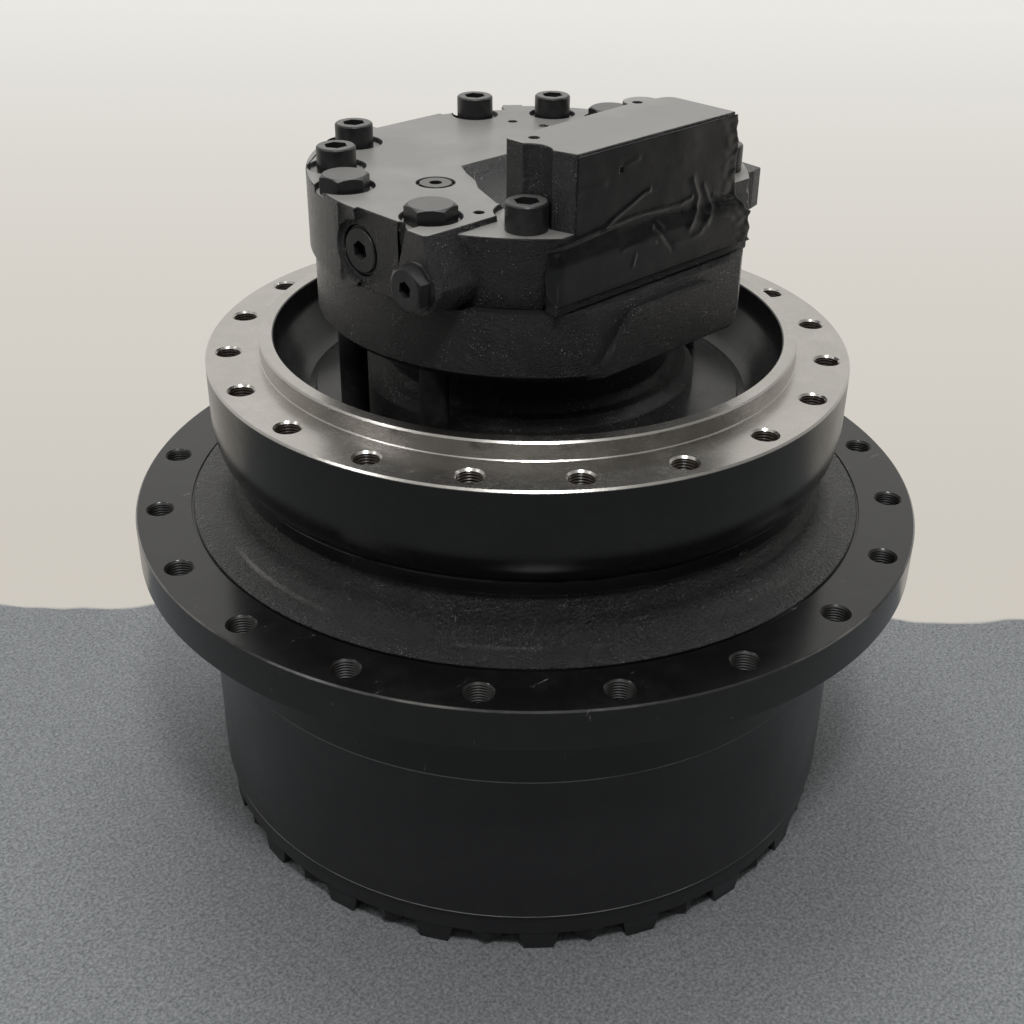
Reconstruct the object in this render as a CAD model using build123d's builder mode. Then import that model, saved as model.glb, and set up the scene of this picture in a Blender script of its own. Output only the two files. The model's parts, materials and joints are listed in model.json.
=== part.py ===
"""Excavator final drive: travel motor, two planetary stages and a turning hub.

The origin is the centre of the flange face that bolts to the track frame. +Z points
up through the motor, and the hub, ring gear and cover hang below the face.
Lengths are in millimetres and angles in degrees.
"""

import math
import os

from build123d import *

os.makedirs("parts", exist_ok=True)

# Shared clearances and overruns
cut_overrun = 5
running_clearance = 0.05
joint_clearance = 0.05
face_gap = 1

# Frame flange and spindle
frame_flange_width = 47
frame_flange_side = 40
frame_bolt_share = 27 / 47
frame_bolt_count = 20
frame_tap_radius = 10.3
frame_tap_mouth = 10.7
frame_tap_depth = 34
spigot_radius = 238
spigot_wall = 12.5
spigot_height = 16
spindle_foot_depth = 86
spindle_foot_overlap = 3
bowl_depth = 36
bowl_floor_radius = 190
bowl_groove_width = 7
bowl_groove_depth = 3
bowl_wall_top = 4
spindle_bore_radius = 90
spindle_length = 250

# Main bearings and their nut
journal_radius = 195
race_thickness = 14
bearing_height = 46
roller_thickness = 33
first_bearing_depth = 112
bearing_spacing = 30
bearing_spacer_wall = 11
nut_outer_radius = 212
nut_thread_radius = 188
nut_height = 14
roller_end_gap = 4

# Floating seal between the spindle and the hub
seal_ring_width = 17
seal_bore_gap = 4
seal_face_depth = 93
seal_ring_height = 18
seal_pocket_step = 4
toric_thickness = 5
seal_pocket_depth = 14
toric_height = 9

# Hub
hub_lip_height = 12.5
hub_neck_wall = 12
hub_neck_height = 19
hub_neck_flare = 4
hub_fillet_inset = 14
sprocket_face_depth = 142
sprocket_flange_thickness = 38
sprocket_flange_width = 57.5
sprocket_edge_chamfer = 1.5
sprocket_bolt_share = 35.7 / 57.5
sprocket_bolt_count = 20
sprocket_tap_radius = 11
sprocket_tap_mouth = 12.8
pilot_radius = 303
hub_depth = 259
hub_phase = 3.5
joint_spigot_height = 5
joint_recess_depth = 6

# Ring gear
ring_length = 151

# Gear teeth, the same module in both stages
tooth_module = 8
pressure_angle = 20
flank_relief = 0.5
root_share = 1.25
ring_teeth = 64
second_sun_teeth = 16
second_planet_teeth = 24
second_planet_count = 4
first_sun_teeth = 14
first_planet_teeth = 25
first_planet_count = 3
first_planet_phase = 30

# Second stage, its carrier fixed to the spindle
second_plate_radius = 232
second_plate_bore = 60
second_upper_plate = 22
second_lower_plate = 9
second_planet_height = 50
second_pin_radius = 30
second_bush_radius = 40
second_web_inner_radius = 185
second_web_span = 18
plate_side_gap = 3
second_lower_bore = 80

# First stage, its carrier turning with the second sun
first_plate_radius = 222
first_upper_plate = 10
first_lower_plate = 10
first_planet_height = 44
first_pin_radius = 24
first_bush_radius = 33
first_web_inner_radius = 150
first_web_span = 32
first_lower_bore = 60
stage_gap = 3

# Screws that hold the fixed carrier
carrier_screw_circle_radius = 150
carrier_screw_count = 8
carrier_screw_radius = 8
carrier_screw_head_radius = 12
carrier_screw_head_height = 9
carrier_screw_reach = 27
carrier_screw_socket = 10
pin_cover = 4

# Suns, coupling and shafts
second_sun_bore = 36
second_sun_spline_radius = 50
first_sun_shaft_radius = 30
coupling_radius = 42
coupling_top_depth = 75
coupling_length = 70
motor_shaft_radius = 25
shaft_joint_depth = 110
thrust_button_radius = 30
thrust_button_height = 12

# Cover of the hub
cover_inset = 3
cover_flange_thickness = 23
cover_inner_radius = 250
cover_dome_radius = 262
cover_dome_drop = 11
cover_wall = 20
cover_boss_radius = 42
cover_lug_count = 20
cover_lug_height = 19
cover_lug_inset = 1.5
cover_lug_foot = 26
cover_lug_root = 36
cover_plug_circle_radius = 190
cover_plug_count = 3
cover_plug_radius = 19
cover_plug_thread_radius = 13
cover_plug_height = 5
cover_plug_socket = 14

# Bolts that hold the cover and ring gear to the hub
cover_bolt_circle_radius = 282
cover_bolt_radius = 9
cover_bolt_flats = 27
cover_bolt_head_height = 11.5
cover_bolt_hole_clearance = 0.5
cover_bolt_reach = 32
cover_washer_radius = 14.5
cover_washer_thickness = 2

# Motor case
case_radius = 184
case_bottom_height = 38
case_top_height = 96
case_neck_radius = 126
case_foot_radius = 142.5
case_flange_radius = 150
case_foot_drop = 12
case_foot_chamfer = 7.5
case_pilot_radius = 122
case_pilot_length = 24
case_bore_radius = 112
case_bore_depth = 20
case_flat_depth = 24
case_flat_top = 90
case_lower_fillet = 6
case_flat_half_width = 52

# Motor cover with its port block
motor_cover_overhang = 4
motor_cover_height = 64
motor_cover_foot_inset = 10
motor_cover_flat_depth = 13
pocket_depth = 4.5
pad_low = -57
pad_high = 23
plate_edge = 85
block_left = 106
block_right = 85
block_back = 81
block_height = 55
block_front_left = 98
block_base_step = 1
screw_access_radius = 18
shoulder_left = 112
shoulder_right = 124
shoulder_ledge = 10
shoulder_height = 46
shoulder_bevel_width = 4
shoulder_bevel_height = 11
right_ear_front = 104
right_ear_back = 66
right_ear_overhang = 3
right_ear_low_rise = 4
right_ear_top_rise = 44
right_ear_corner = 12

# Ear with the threaded plug at the left of the motor cover
ear_overhang = 8
ear_top_near = 65
ear_low_near = 54
ear_low_far = 94
ear_plug_y = -74
ear_plug_rise = 21
ear_depth = 50
ear_plug_flats = 32
ear_plug_length = 13
ear_plug_collar_radius = 18.5
ear_plug_collar = 3
ear_plug_socket = 10
ear_plug_thread_radius = 13
ear_plug_thread_length = 22

# Spool plugs in the side pads of the motor cover
spool_plug_y = 2
spool_plug_rise = 29
spool_plug_radius = 20
spool_plug_depth = 16
spool_plug_socket = 14.5
spool_plug_socket_depth = 9
spool_radius = 11
spool_neck_radius = 8
spool_land = 30
spool_end_gap = 12

# Small plug in the top face
top_plug_x = -97.8
top_plug_y = 9.7
top_plug_radius = 15.5
top_plug_depth = 14
top_plug_hole_radius = 4

# Cap screws of the motor cover
cap_screw_x_outer = 128
cap_screw_y_outer = 99.5
cap_screw_x_inner = 72
cap_screw_y_inner = 146
cap_screw_x_front = 116
cap_screw_y_front = -113
cap_screw_radius = 10
cap_screw_head_radius = 15
cap_screw_head_height = 20
cap_screw_socket = 17
cap_screw_socket_depth = 10
cap_screw_reach = 46
cap_screw_hole_clearance = 0.5
spot_face_radius = 20
spot_face_depth = 2

# Long hexagon bolts that hold the motor to the spindle
motor_bolt_x = 157
motor_bolt_y = 52
motor_bolt_radius = 12
motor_bolt_flats = 36
motor_bolt_head_height = 15
motor_bolt_hole_radius = 13
motor_bolt_recess_radius = 23
motor_bolt_recess_depth = 3
motor_bolt_reach = 26

# Film over the port face
film_thickness = 0.6
film_gap = 0.2
film_top_drop = 2
film_overhang = 4
film_bottom_rise = 3

# Parts inside the motor
block_drum_radius = 92
block_drum_gap = 8
block_drum_top_gap = 1
piston_count = 9
piston_radius = 9.5
piston_circle_radius = 62
piston_length_share = 10 / 13
shoe_radius = 13
shoe_height = 5
swash_radius = 100
swash_thickness = 18
valve_plate_radius = 86
valve_plate_thickness = 6
shaft_bearing_radius = 52
shaft_bearing_height = 24
shaft_bearing_depth = 46
shaft_seal_radius = 44
shaft_seal_height = 8
rear_bearing_height = 14
rear_bearing_radius = 40
shaft_inner_ring_wall = 10
brake_disc_count = 4
brake_disc_thickness = 3
brake_disc_pitch = 8
brake_stack_height = 48
brake_disc_outer = 107
brake_plate_inner = 96
brake_piston_height = 12


# Levels along the axis, from the frame face at zero
spindle_end = -spindle_length
hub_top = -(spindle_foot_depth + face_gap)
sprocket_top = -sprocket_face_depth
sprocket_bottom = sprocket_top - sprocket_flange_thickness
ring_top = -hub_depth
ring_bottom = ring_top - ring_length
cover_seat = ring_bottom - cover_flange_thickness
dome_face = cover_seat - cover_dome_drop
lug_foot = cover_seat - cover_lug_height
second_plate_bottom = spindle_end - second_upper_plate
second_planet_top = second_plate_bottom - plate_side_gap
second_planet_bottom = second_planet_top - second_planet_height
second_lower_top = second_planet_bottom - plate_side_gap
second_lower_bottom = second_lower_top - second_lower_plate
first_plate_top = second_lower_bottom - stage_gap
first_plate_bottom = first_plate_top - first_upper_plate
first_planet_top = first_plate_bottom - plate_side_gap
first_planet_bottom = first_planet_top - first_planet_height
first_lower_top = first_planet_bottom - plate_side_gap
first_lower_bottom = first_lower_top - first_lower_plate
motor_top = case_top_height + motor_cover_height
pocket_face = motor_top - pocket_depth
block_top = motor_top + block_height
bearing_depths = [first_bearing_depth, first_bearing_depth + bearing_height + bearing_spacing]

# Radii that follow from one another, from the spindle outwards
frame_flange_radius = spigot_radius + frame_flange_width
frame_bolt_circle_radius = spigot_radius + frame_flange_width * frame_bolt_share
bearing_pocket_radius = journal_radius + 2 * race_thickness + roller_thickness
seal_pocket_radius = bearing_pocket_radius - seal_pocket_step
seal_outer_radius = seal_pocket_radius - toric_thickness
seal_inner_radius = seal_outer_radius - seal_ring_width
spindle_boss_radius = seal_inner_radius - seal_bore_gap
hub_neck_radius = bearing_pocket_radius + hub_neck_wall
spindle_foot_radius = hub_neck_radius + spindle_foot_overlap
joint_spigot_radius = hub_neck_radius
hub_fillet_radius = pilot_radius - hub_fillet_inset
sprocket_flange_radius = pilot_radius + sprocket_flange_width
sprocket_bolt_circle_radius = pilot_radius + sprocket_flange_width * sprocket_bolt_share
ring_radius = pilot_radius - face_gap
cover_radius = ring_radius - cover_inset
cover_lug_radius = cover_radius - cover_lug_inset

# Places on the motor that follow from its case
case_flat_distance = case_radius - case_flat_depth
motor_cover_radius = case_radius + motor_cover_overhang
motor_cover_front_radius = case_radius
motor_cover_foot_radius = case_radius - motor_cover_foot_inset
motor_cover_back_flat = case_radius - motor_cover_flat_depth
pad_distance = case_radius
ear_reach = case_radius + ear_overhang
ear_plug_z = case_top_height + ear_plug_rise
spool_plug_z = case_top_height + spool_plug_rise
right_ear_reach = case_radius + right_ear_overhang
right_ear_low = case_top_height + right_ear_low_rise
right_ear_top = case_top_height + right_ear_top_rise
shoulder_front = case_flat_distance - shoulder_ledge
block_front = shoulder_front - shoulder_bevel_width
brake_disc_bottom = case_top_height - brake_stack_height

# Gear geometry that follows from the module and the tooth counts
full_turn = 360
carrier_screw_phase = full_turn / 2 / carrier_screw_count
second_centre = tooth_module * (second_sun_teeth + second_planet_teeth) / 2
first_centre = tooth_module * (first_sun_teeth + first_planet_teeth) / 2
ring_space_phase = hub_phase


def involute(angle):
    """Involute function of an angle in radians."""
    return math.tan(angle) - angle


def tooth_outline(teeth, widening, inner_radius, outer_radius, phase):
    """Corners of a toothed outline with a tooth centred on the phase angle.

    The widening is added to half the circular pitch at the pitch circle.
    """
    pitch_radius = tooth_module * teeth / 2
    base_radius = pitch_radius * math.cos(math.radians(pressure_angle))
    pitch_width = math.pi * tooth_module / 2 + widening
    pitch_roll = involute(math.radians(pressure_angle))
    half_angles = []
    for radius in (inner_radius, pitch_radius, outer_radius):
        roll = involute(math.acos(min(1, base_radius / radius)))
        half_angles.append(pitch_width / (2 * pitch_radius) + pitch_roll - roll)
    flank = list(zip((inner_radius, pitch_radius, outer_radius), half_angles))
    corners = []
    for tooth in range(teeth):
        centre = math.radians(phase + 360 * tooth / teeth)
        for radius, half in flank:
            corners.append((radius * math.cos(centre - half), radius * math.sin(centre - half)))
        for radius, half in reversed(flank):
            corners.append((radius * math.cos(centre + half), radius * math.sin(centre + half)))
    return corners


def gear_outline(teeth, phase):
    """Outline of an external gear."""
    pitch_radius = tooth_module * teeth / 2
    root = pitch_radius - root_share * tooth_module
    return tooth_outline(teeth, -flank_relief, root, pitch_radius + tooth_module, phase)


def ring_outline():
    """Outline of the ring gear's bore, a tooth space centred on its phase angle."""
    pitch_radius = tooth_module * ring_teeth / 2
    root = pitch_radius + root_share * tooth_module
    return tooth_outline(ring_teeth, flank_relief, pitch_radius - tooth_module, root, ring_space_phase)


def planet_phase(place, planet_teeth):
    """Turn of a planet at an angle on its carrier that puts it in mesh with the ring."""
    return place - ring_teeth * (place - ring_space_phase) / planet_teeth


def sun_phase(place, planet_teeth, sun_teeth):
    """Turn of a sun that puts it in mesh with the planet at that angle."""
    shift = ring_teeth * (place - ring_space_phase) - 180 * (1 - planet_teeth)
    return place + shift / sun_teeth


def turned_ring(outer_radius, inner_radius, low, high):
    """Plain ring on the main axis between two heights."""
    with BuildPart() as ring:
        with BuildSketch(Plane.XY.offset(low)):
            Circle(outer_radius)
            Circle(inner_radius, mode=Mode.SUBTRACT)
        extrude(amount=high - low)
    return ring.part


def web_outline(inner_radius, outer_radius, span, place):
    """Corners of a carrier web: a sector piece with one point midway on its outer arc."""
    angles = [math.radians(place + step * span / 2) for step in (-1, 0, 1)]
    outer = [(outer_radius * math.cos(a), outer_radius * math.sin(a)) for a in angles]
    inner = [(inner_radius * math.cos(a), inner_radius * math.sin(a)) for a in reversed(angles)]
    return outer + inner


# Spindle: the fixed flange, the bowl for the motor and the bearing journal
journal_end = spindle_end + nut_height
with BuildPart() as spindle:
    with BuildSketch(Plane.XZ):
        with BuildLine():
            bowl_rim = spigot_radius - spigot_wall
            groove_radius = bowl_floor_radius + bowl_groove_width
            groove_floor = -(bowl_depth + bowl_groove_depth)
            pocket_top = -(spindle_foot_depth - seal_pocket_depth)
            mid_side = ((frame_flange_radius + spindle_foot_radius) / 2 + face_gap * 2,
                        -(frame_flange_side + spindle_foot_depth) / 2 - face_gap)
            outer_side = Polyline(
                (bowl_rim, spigot_height),
                (spigot_radius, spigot_height),
                (spigot_radius, 0),
                (frame_flange_radius, 0),
                (frame_flange_radius, -frame_flange_side),
            )
            ThreePointArc(outer_side @ 1, mid_side, (spindle_foot_radius, -spindle_foot_depth))
            inner_side = Polyline(
                (spindle_foot_radius, -spindle_foot_depth),
                (seal_pocket_radius, -spindle_foot_depth),
                (seal_pocket_radius, pocket_top),
                (spindle_boss_radius, pocket_top),
                (spindle_boss_radius, -first_bearing_depth),
                (journal_radius, -first_bearing_depth),
                (journal_radius, journal_end),
                (nut_thread_radius, journal_end),
                (nut_thread_radius, spindle_end),
                (spindle_bore_radius, spindle_end),
                (spindle_bore_radius, -(bowl_depth + case_pilot_length + face_gap)),
                (case_pilot_radius + joint_clearance, -(bowl_depth + case_pilot_length + face_gap)),
                (case_pilot_radius + joint_clearance, -bowl_depth),
                (bowl_floor_radius, -bowl_depth),
                (bowl_floor_radius, groove_floor),
                (groove_radius, groove_floor),
                (groove_radius, -bowl_depth),
            )
            bowl_side = Line((bowl_rim, spigot_height), (bowl_rim, -bowl_wall_top))
            ThreePointArc(
                bowl_side @ 1,
                ((bowl_rim * 2 + groove_radius) / 3, -(bowl_wall_top + bowl_depth) / 2),
                inner_side @ 1,
            )
        make_face()
    revolve(axis=Axis.Z)
    with BuildSketch(Plane.XY):
        with PolarLocations(frame_bolt_circle_radius, frame_bolt_count):
            Circle(frame_tap_radius)
    extrude(amount=-frame_tap_depth, mode=Mode.SUBTRACT)
    chamfer(
        spindle.edges().filter_by(GeomType.CIRCLE).filter_by(
            lambda e: abs(e.radius - frame_tap_radius) < running_clearance
            and abs(e.arc_center.Z) < running_clearance
        ),
        frame_tap_mouth - frame_tap_radius,
    )
    with BuildSketch(Plane.XY.offset(spindle_end)):
        with PolarLocations(carrier_screw_circle_radius, carrier_screw_count, start_angle=carrier_screw_phase):
            Circle(carrier_screw_radius)
    extrude(amount=carrier_screw_reach + face_gap, mode=Mode.SUBTRACT)
    with BuildSketch(Plane.XY.offset(-bowl_depth)):
        with GridLocations(2 * motor_bolt_x, 2 * motor_bolt_y, 2, 2):
            Circle(motor_bolt_radius)
    extrude(amount=-(motor_bolt_reach + face_gap), mode=Mode.SUBTRACT)
spindle.part.label = "spindle"
export_step(spindle.part, "parts/spindle.step")

# Main bearings: two inner races with a spacer, two outer races and their roller rows
pocket_inner = bearing_pocket_radius - race_thickness
race_outer = journal_radius + race_thickness
with BuildPart() as inner_races:
    for depth in bearing_depths:
        add(turned_ring(race_outer, journal_radius, -depth - bearing_height, -depth))
inner_races.part.label = "bearing_inner_races"
export_step(inner_races.part, "parts/bearing_inner_races.step")
with BuildPart() as outer_races:
    for depth in bearing_depths:
        add(turned_ring(bearing_pocket_radius, pocket_inner, -depth - bearing_height, -depth))
outer_races.part.label = "bearing_outer_races"
export_step(outer_races.part, "parts/bearing_outer_races.step")
with BuildPart() as bearing_rollers:
    for depth in bearing_depths:
        row_low = -depth - bearing_height + roller_end_gap
        add(turned_ring(pocket_inner - running_clearance, race_outer + running_clearance,
                        row_low, -depth - roller_end_gap))
bearing_rollers.part.label = "bearing_roller_rows"
export_step(bearing_rollers.part, "parts/bearing_roller_rows.step")
with BuildPart() as bearing_spacer:
    spacer_top = -first_bearing_depth - bearing_height
    add(turned_ring(journal_radius + bearing_spacer_wall, journal_radius,
                    spacer_top - bearing_spacing, spacer_top))
bearing_spacer.part.label = "bearing_spacer"
export_step(bearing_spacer.part, "parts/bearing_spacer.step")
with BuildPart() as bearing_nut:
    add(turned_ring(nut_outer_radius, nut_thread_radius, spindle_end, journal_end))
bearing_nut.part.label = "bearing_nut"
export_step(bearing_nut.part, "parts/bearing_nut.step")

# Floating seal: two lapped rings face to face, each on its rubber toric ring
seal_faces = [-seal_face_depth + running_clearance, -seal_face_depth - running_clearance]
with BuildPart() as seal_ring_fixed:
    add(turned_ring(seal_outer_radius, seal_inner_radius, seal_faces[0], seal_faces[0] + seal_ring_height))
seal_ring_fixed.part.label = "seal_ring_fixed"
export_step(seal_ring_fixed.part, "parts/seal_ring_fixed.step")
with BuildPart() as seal_ring_turning:
    add(turned_ring(seal_outer_radius, seal_inner_radius, seal_faces[1] - seal_ring_height, seal_faces[1]))
seal_ring_turning.part.label = "seal_ring_turning"
export_step(seal_ring_turning.part, "parts/seal_ring_turning.step")
toric_low = -(spindle_foot_depth - face_gap)
with BuildPart() as toric_fixed:
    add(turned_ring(seal_pocket_radius, seal_outer_radius, toric_low, toric_low + toric_height))
toric_fixed.part.label = "seal_toric_fixed"
export_step(toric_fixed.part, "parts/seal_toric_fixed.step")
toric_high = -(seal_face_depth + face_gap)
with BuildPart() as toric_turning:
    add(turned_ring(bearing_pocket_radius, seal_outer_radius, toric_high - toric_height, toric_high))
toric_turning.part.label = "seal_toric_turning"
export_step(toric_turning.part, "parts/seal_toric_turning.step")

# Hub: lip, cast neck, sprocket flange and pilot
with BuildPart() as hub:
    pocket_bottom = -(first_bearing_depth + bearing_height)
    with BuildSketch(Plane.XZ):
        with BuildLine():
            lip_bottom = hub_top - hub_lip_height
            flare_top = lip_bottom - hub_neck_height
            neck = Polyline(
                (bearing_pocket_radius, hub_top),
                (spindle_foot_radius, hub_top),
                (spindle_foot_radius, lip_bottom),
                (hub_neck_radius, lip_bottom),
                (hub_neck_radius + hub_neck_flare, flare_top),
            )
            ThreePointArc(
                neck @ 1,
                (hub_neck_radius + hub_neck_flare * 2, (flare_top + sprocket_top * 2) / 3),
                (hub_fillet_radius, sprocket_top),
            )
            Polyline(
                (hub_fillet_radius, sprocket_top),
                (sprocket_flange_radius - sprocket_edge_chamfer, sprocket_top),
                (sprocket_flange_radius, sprocket_top - sprocket_edge_chamfer),
                (sprocket_flange_radius, sprocket_bottom + sprocket_edge_chamfer),
                (sprocket_flange_radius - sprocket_edge_chamfer, sprocket_bottom),
                (pilot_radius, sprocket_bottom),
                (pilot_radius, ring_top),
                (joint_spigot_radius - joint_clearance, ring_top),
                (joint_spigot_radius - joint_clearance, ring_top - joint_spigot_height),
                (bearing_pocket_radius, ring_top - joint_spigot_height),
                (bearing_pocket_radius, pocket_bottom - bearing_spacing),
                (pocket_inner, pocket_bottom - bearing_spacing),
                (pocket_inner, pocket_bottom),
                (bearing_pocket_radius, pocket_bottom),
                (bearing_pocket_radius, hub_top),
            )
        make_face()
    revolve(axis=Axis.Z)
    with BuildSketch(Plane.XY.offset(sprocket_top)):
        with PolarLocations(sprocket_bolt_circle_radius, sprocket_bolt_count, start_angle=hub_phase):
            Circle(sprocket_tap_radius)
    extrude(amount=-sprocket_flange_thickness, mode=Mode.SUBTRACT)
    chamfer(
        hub.edges().filter_by(GeomType.CIRCLE).filter_by(
            lambda e: abs(e.radius - sprocket_tap_radius) < running_clearance
            and abs(e.arc_center.Z - sprocket_top) < running_clearance
        ),
        sprocket_tap_mouth - sprocket_tap_radius,
    )
    with BuildSketch(Plane.XY.offset(ring_top)):
        with PolarLocations(cover_bolt_circle_radius, cover_lug_count, start_angle=hub_phase):
            Circle(cover_bolt_radius)
    extrude(amount=cover_bolt_reach + face_gap, mode=Mode.SUBTRACT)
hub.part.label = "hub"
export_step(hub.part, "parts/hub.step")

# Ring gear with the one set of teeth that both stages run in
recess_radius = joint_spigot_radius
with BuildPart() as ring_gear:
    with BuildSketch(Plane.XY.offset(ring_bottom)):
        Circle(ring_radius)
        with PolarLocations(cover_bolt_circle_radius, cover_lug_count, start_angle=hub_phase):
            Circle(cover_bolt_radius + cover_bolt_hole_clearance, mode=Mode.SUBTRACT)
        with BuildLine():
            Polyline(*ring_outline(), close=True)
        make_face(mode=Mode.SUBTRACT)
    extrude(amount=ring_length)
    with BuildSketch(Plane.XY.offset(ring_bottom), Plane.XY.offset(ring_top - joint_recess_depth)):
        Circle(recess_radius)
    extrude(amount=joint_recess_depth, mode=Mode.SUBTRACT)
ring_gear.part.label = "ring_gear"
export_step(ring_gear.part, "parts/ring_gear.step")

# Cover: dished end plate with a castellated rim, a lug between each pair of bolts
lug_start = cover_dome_radius - cut_overrun
with BuildPart() as cover_lug:
    with BuildSketch(Plane.YZ.offset(lug_start)):
        with BuildLine():
            Polyline(
                (-cover_lug_root / 2, cover_seat),
                (-cover_lug_foot / 2, lug_foot),
                (cover_lug_foot / 2, lug_foot),
                (cover_lug_root / 2, cover_seat),
                close=True,
            )
        make_face()
    extrude(amount=cover_lug_radius - lug_start)
with BuildPart() as cover:
    cover_floor = dome_face + cover_wall
    with BuildSketch(Plane.XZ):
        with BuildLine():
            Polyline(
                (0, dome_face),
                (cover_dome_radius, dome_face),
                (cover_dome_radius, cover_seat),
                (cover_radius, cover_seat),
                (cover_radius, ring_bottom),
                (joint_spigot_radius - joint_clearance, ring_bottom),
                (joint_spigot_radius - joint_clearance, ring_bottom + joint_spigot_height),
                (cover_inner_radius, ring_bottom + joint_spigot_height),
                (cover_inner_radius, cover_floor),
                (cover_boss_radius, cover_floor),
                (cover_boss_radius, first_planet_bottom - thrust_button_height - face_gap),
                (0, first_planet_bottom - thrust_button_height - face_gap),
                close=True,
            )
        make_face()
    revolve(axis=Axis.Z)
    with PolarLocations(0, cover_lug_count, start_angle=hub_phase + full_turn / 2 / cover_lug_count):
        add(cover_lug.part)
    with BuildSketch(Plane.XY.offset(ring_bottom)):
        with PolarLocations(cover_bolt_circle_radius, cover_lug_count, start_angle=hub_phase):
            Circle(cover_bolt_radius + cover_bolt_hole_clearance)
    extrude(amount=-cover_flange_thickness, mode=Mode.SUBTRACT)
    with BuildSketch(Plane.XY.offset(dome_face)):
        with PolarLocations(cover_plug_circle_radius, cover_plug_count, start_angle=hub_phase):
            Circle(cover_plug_thread_radius)
    extrude(amount=cover_wall, mode=Mode.SUBTRACT)
cover.part.label = "hub_cover"
export_step(cover.part, "parts/hub_cover.step")

# Cover bolts with their washers, and the filler, level and drain plugs
with BuildPart() as cover_washers:
    with BuildSketch(Plane.XY.offset(cover_seat - cover_washer_thickness)):
        with PolarLocations(cover_bolt_circle_radius, cover_lug_count, start_angle=hub_phase):
            Circle(cover_washer_radius)
            Circle(cover_bolt_radius + cover_bolt_hole_clearance, mode=Mode.SUBTRACT)
    extrude(amount=cover_washer_thickness)
cover_washers.part.label = "cover_bolt_washers"
export_step(cover_washers.part, "parts/cover_bolt_washers.step")
with BuildPart() as cover_bolts:
    head_seat = cover_seat - cover_washer_thickness
    with BuildSketch(Plane.XY.offset(head_seat)):
        with PolarLocations(cover_bolt_circle_radius, cover_lug_count, start_angle=hub_phase):
            RegularPolygon(cover_bolt_flats / 2, 6, major_radius=False)
    extrude(amount=-cover_bolt_head_height)
    with BuildSketch(Plane.XY.offset(head_seat)):
        with PolarLocations(cover_bolt_circle_radius, cover_lug_count, start_angle=hub_phase):
            Circle(cover_bolt_radius)
    extrude(amount=ring_top + cover_bolt_reach - head_seat)
cover_bolts.part.label = "cover_bolts"
export_step(cover_bolts.part, "parts/cover_bolts.step")
with BuildPart() as cover_plugs:
    with BuildSketch(Plane.XY.offset(dome_face)):
        with PolarLocations(cover_plug_circle_radius, cover_plug_count, start_angle=hub_phase):
            Circle(cover_plug_radius)
    extrude(amount=-cover_plug_height)
    with BuildSketch(Plane.XY.offset(dome_face)):
        with PolarLocations(cover_plug_circle_radius, cover_plug_count, start_angle=hub_phase):
            Circle(cover_plug_thread_radius)
    extrude(amount=cover_wall)
    with BuildSketch(Plane.XY.offset(dome_face - cover_plug_height)):
        with PolarLocations(cover_plug_circle_radius, cover_plug_count, start_angle=hub_phase):
            RegularPolygon(cover_plug_socket / 2, 6, major_radius=False)
    extrude(amount=cover_wall / 2, mode=Mode.SUBTRACT)
cover_plugs.part.label = "cover_plugs"
export_step(cover_plugs.part, "parts/cover_plugs.step")
with BuildPart() as thrust_button:
    button_low = first_planet_bottom - thrust_button_height - face_gap
    add(turned_ring(thrust_button_radius, thrust_button_radius / 4, button_low,
                    button_low + thrust_button_height))
thrust_button.part.label = "thrust_button"
export_step(thrust_button.part, "parts/thrust_button.step")

# Second-stage carrier: two plates joined by webs, held to the spindle by screws
with BuildPart() as second_carrier:
    with BuildSketch(Plane.XY.offset(second_plate_bottom)):
        Circle(second_plate_radius)
        Circle(second_plate_bore, mode=Mode.SUBTRACT)
    extrude(amount=second_upper_plate)
    with BuildSketch(Plane.XY.offset(second_lower_bottom)):
        Circle(second_plate_radius)
        Circle(second_lower_bore, mode=Mode.SUBTRACT)
    extrude(amount=second_lower_plate)
    for index in range(second_planet_count):
        web_place = full_turn * (index + 1 / 2) / second_planet_count
        web_edge = second_plate_radius - second_lower_plate
        with BuildSketch(Plane.XY.offset(second_lower_top)):
            with BuildLine():
                Polyline(*web_outline(second_web_inner_radius, web_edge, second_web_span, web_place),
                         close=True)
            make_face()
        extrude(amount=second_plate_bottom - second_lower_top)
    with BuildSketch(Plane.XY.offset(second_lower_bottom)):
        with PolarLocations(second_centre, second_planet_count):
            Circle(second_pin_radius)
    extrude(amount=spindle_end - pin_cover - second_lower_bottom, mode=Mode.SUBTRACT)
    with BuildSketch(Plane.XY.offset(second_plate_bottom)):
        with PolarLocations(carrier_screw_circle_radius, carrier_screw_count, start_angle=carrier_screw_phase):
            Circle(carrier_screw_radius)
    extrude(amount=second_upper_plate, mode=Mode.SUBTRACT)
    with BuildSketch(Plane.XY.offset(second_plate_bottom)):
        with PolarLocations(carrier_screw_circle_radius, carrier_screw_count, start_angle=carrier_screw_phase):
            Circle(carrier_screw_head_radius + joint_clearance)
    extrude(amount=carrier_screw_head_height + face_gap, mode=Mode.SUBTRACT)
second_carrier.part.label = "second_stage_carrier"
export_step(second_carrier.part, "parts/second_stage_carrier.step")
with BuildPart() as second_pins:
    with BuildSketch(Plane.XY.offset(second_lower_bottom)):
        with PolarLocations(second_centre, second_planet_count):
            Circle(second_pin_radius)
    extrude(amount=spindle_end - pin_cover - second_lower_bottom)
second_pins.part.label = "second_planet_pins"
export_step(second_pins.part, "parts/second_planet_pins.step")
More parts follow.
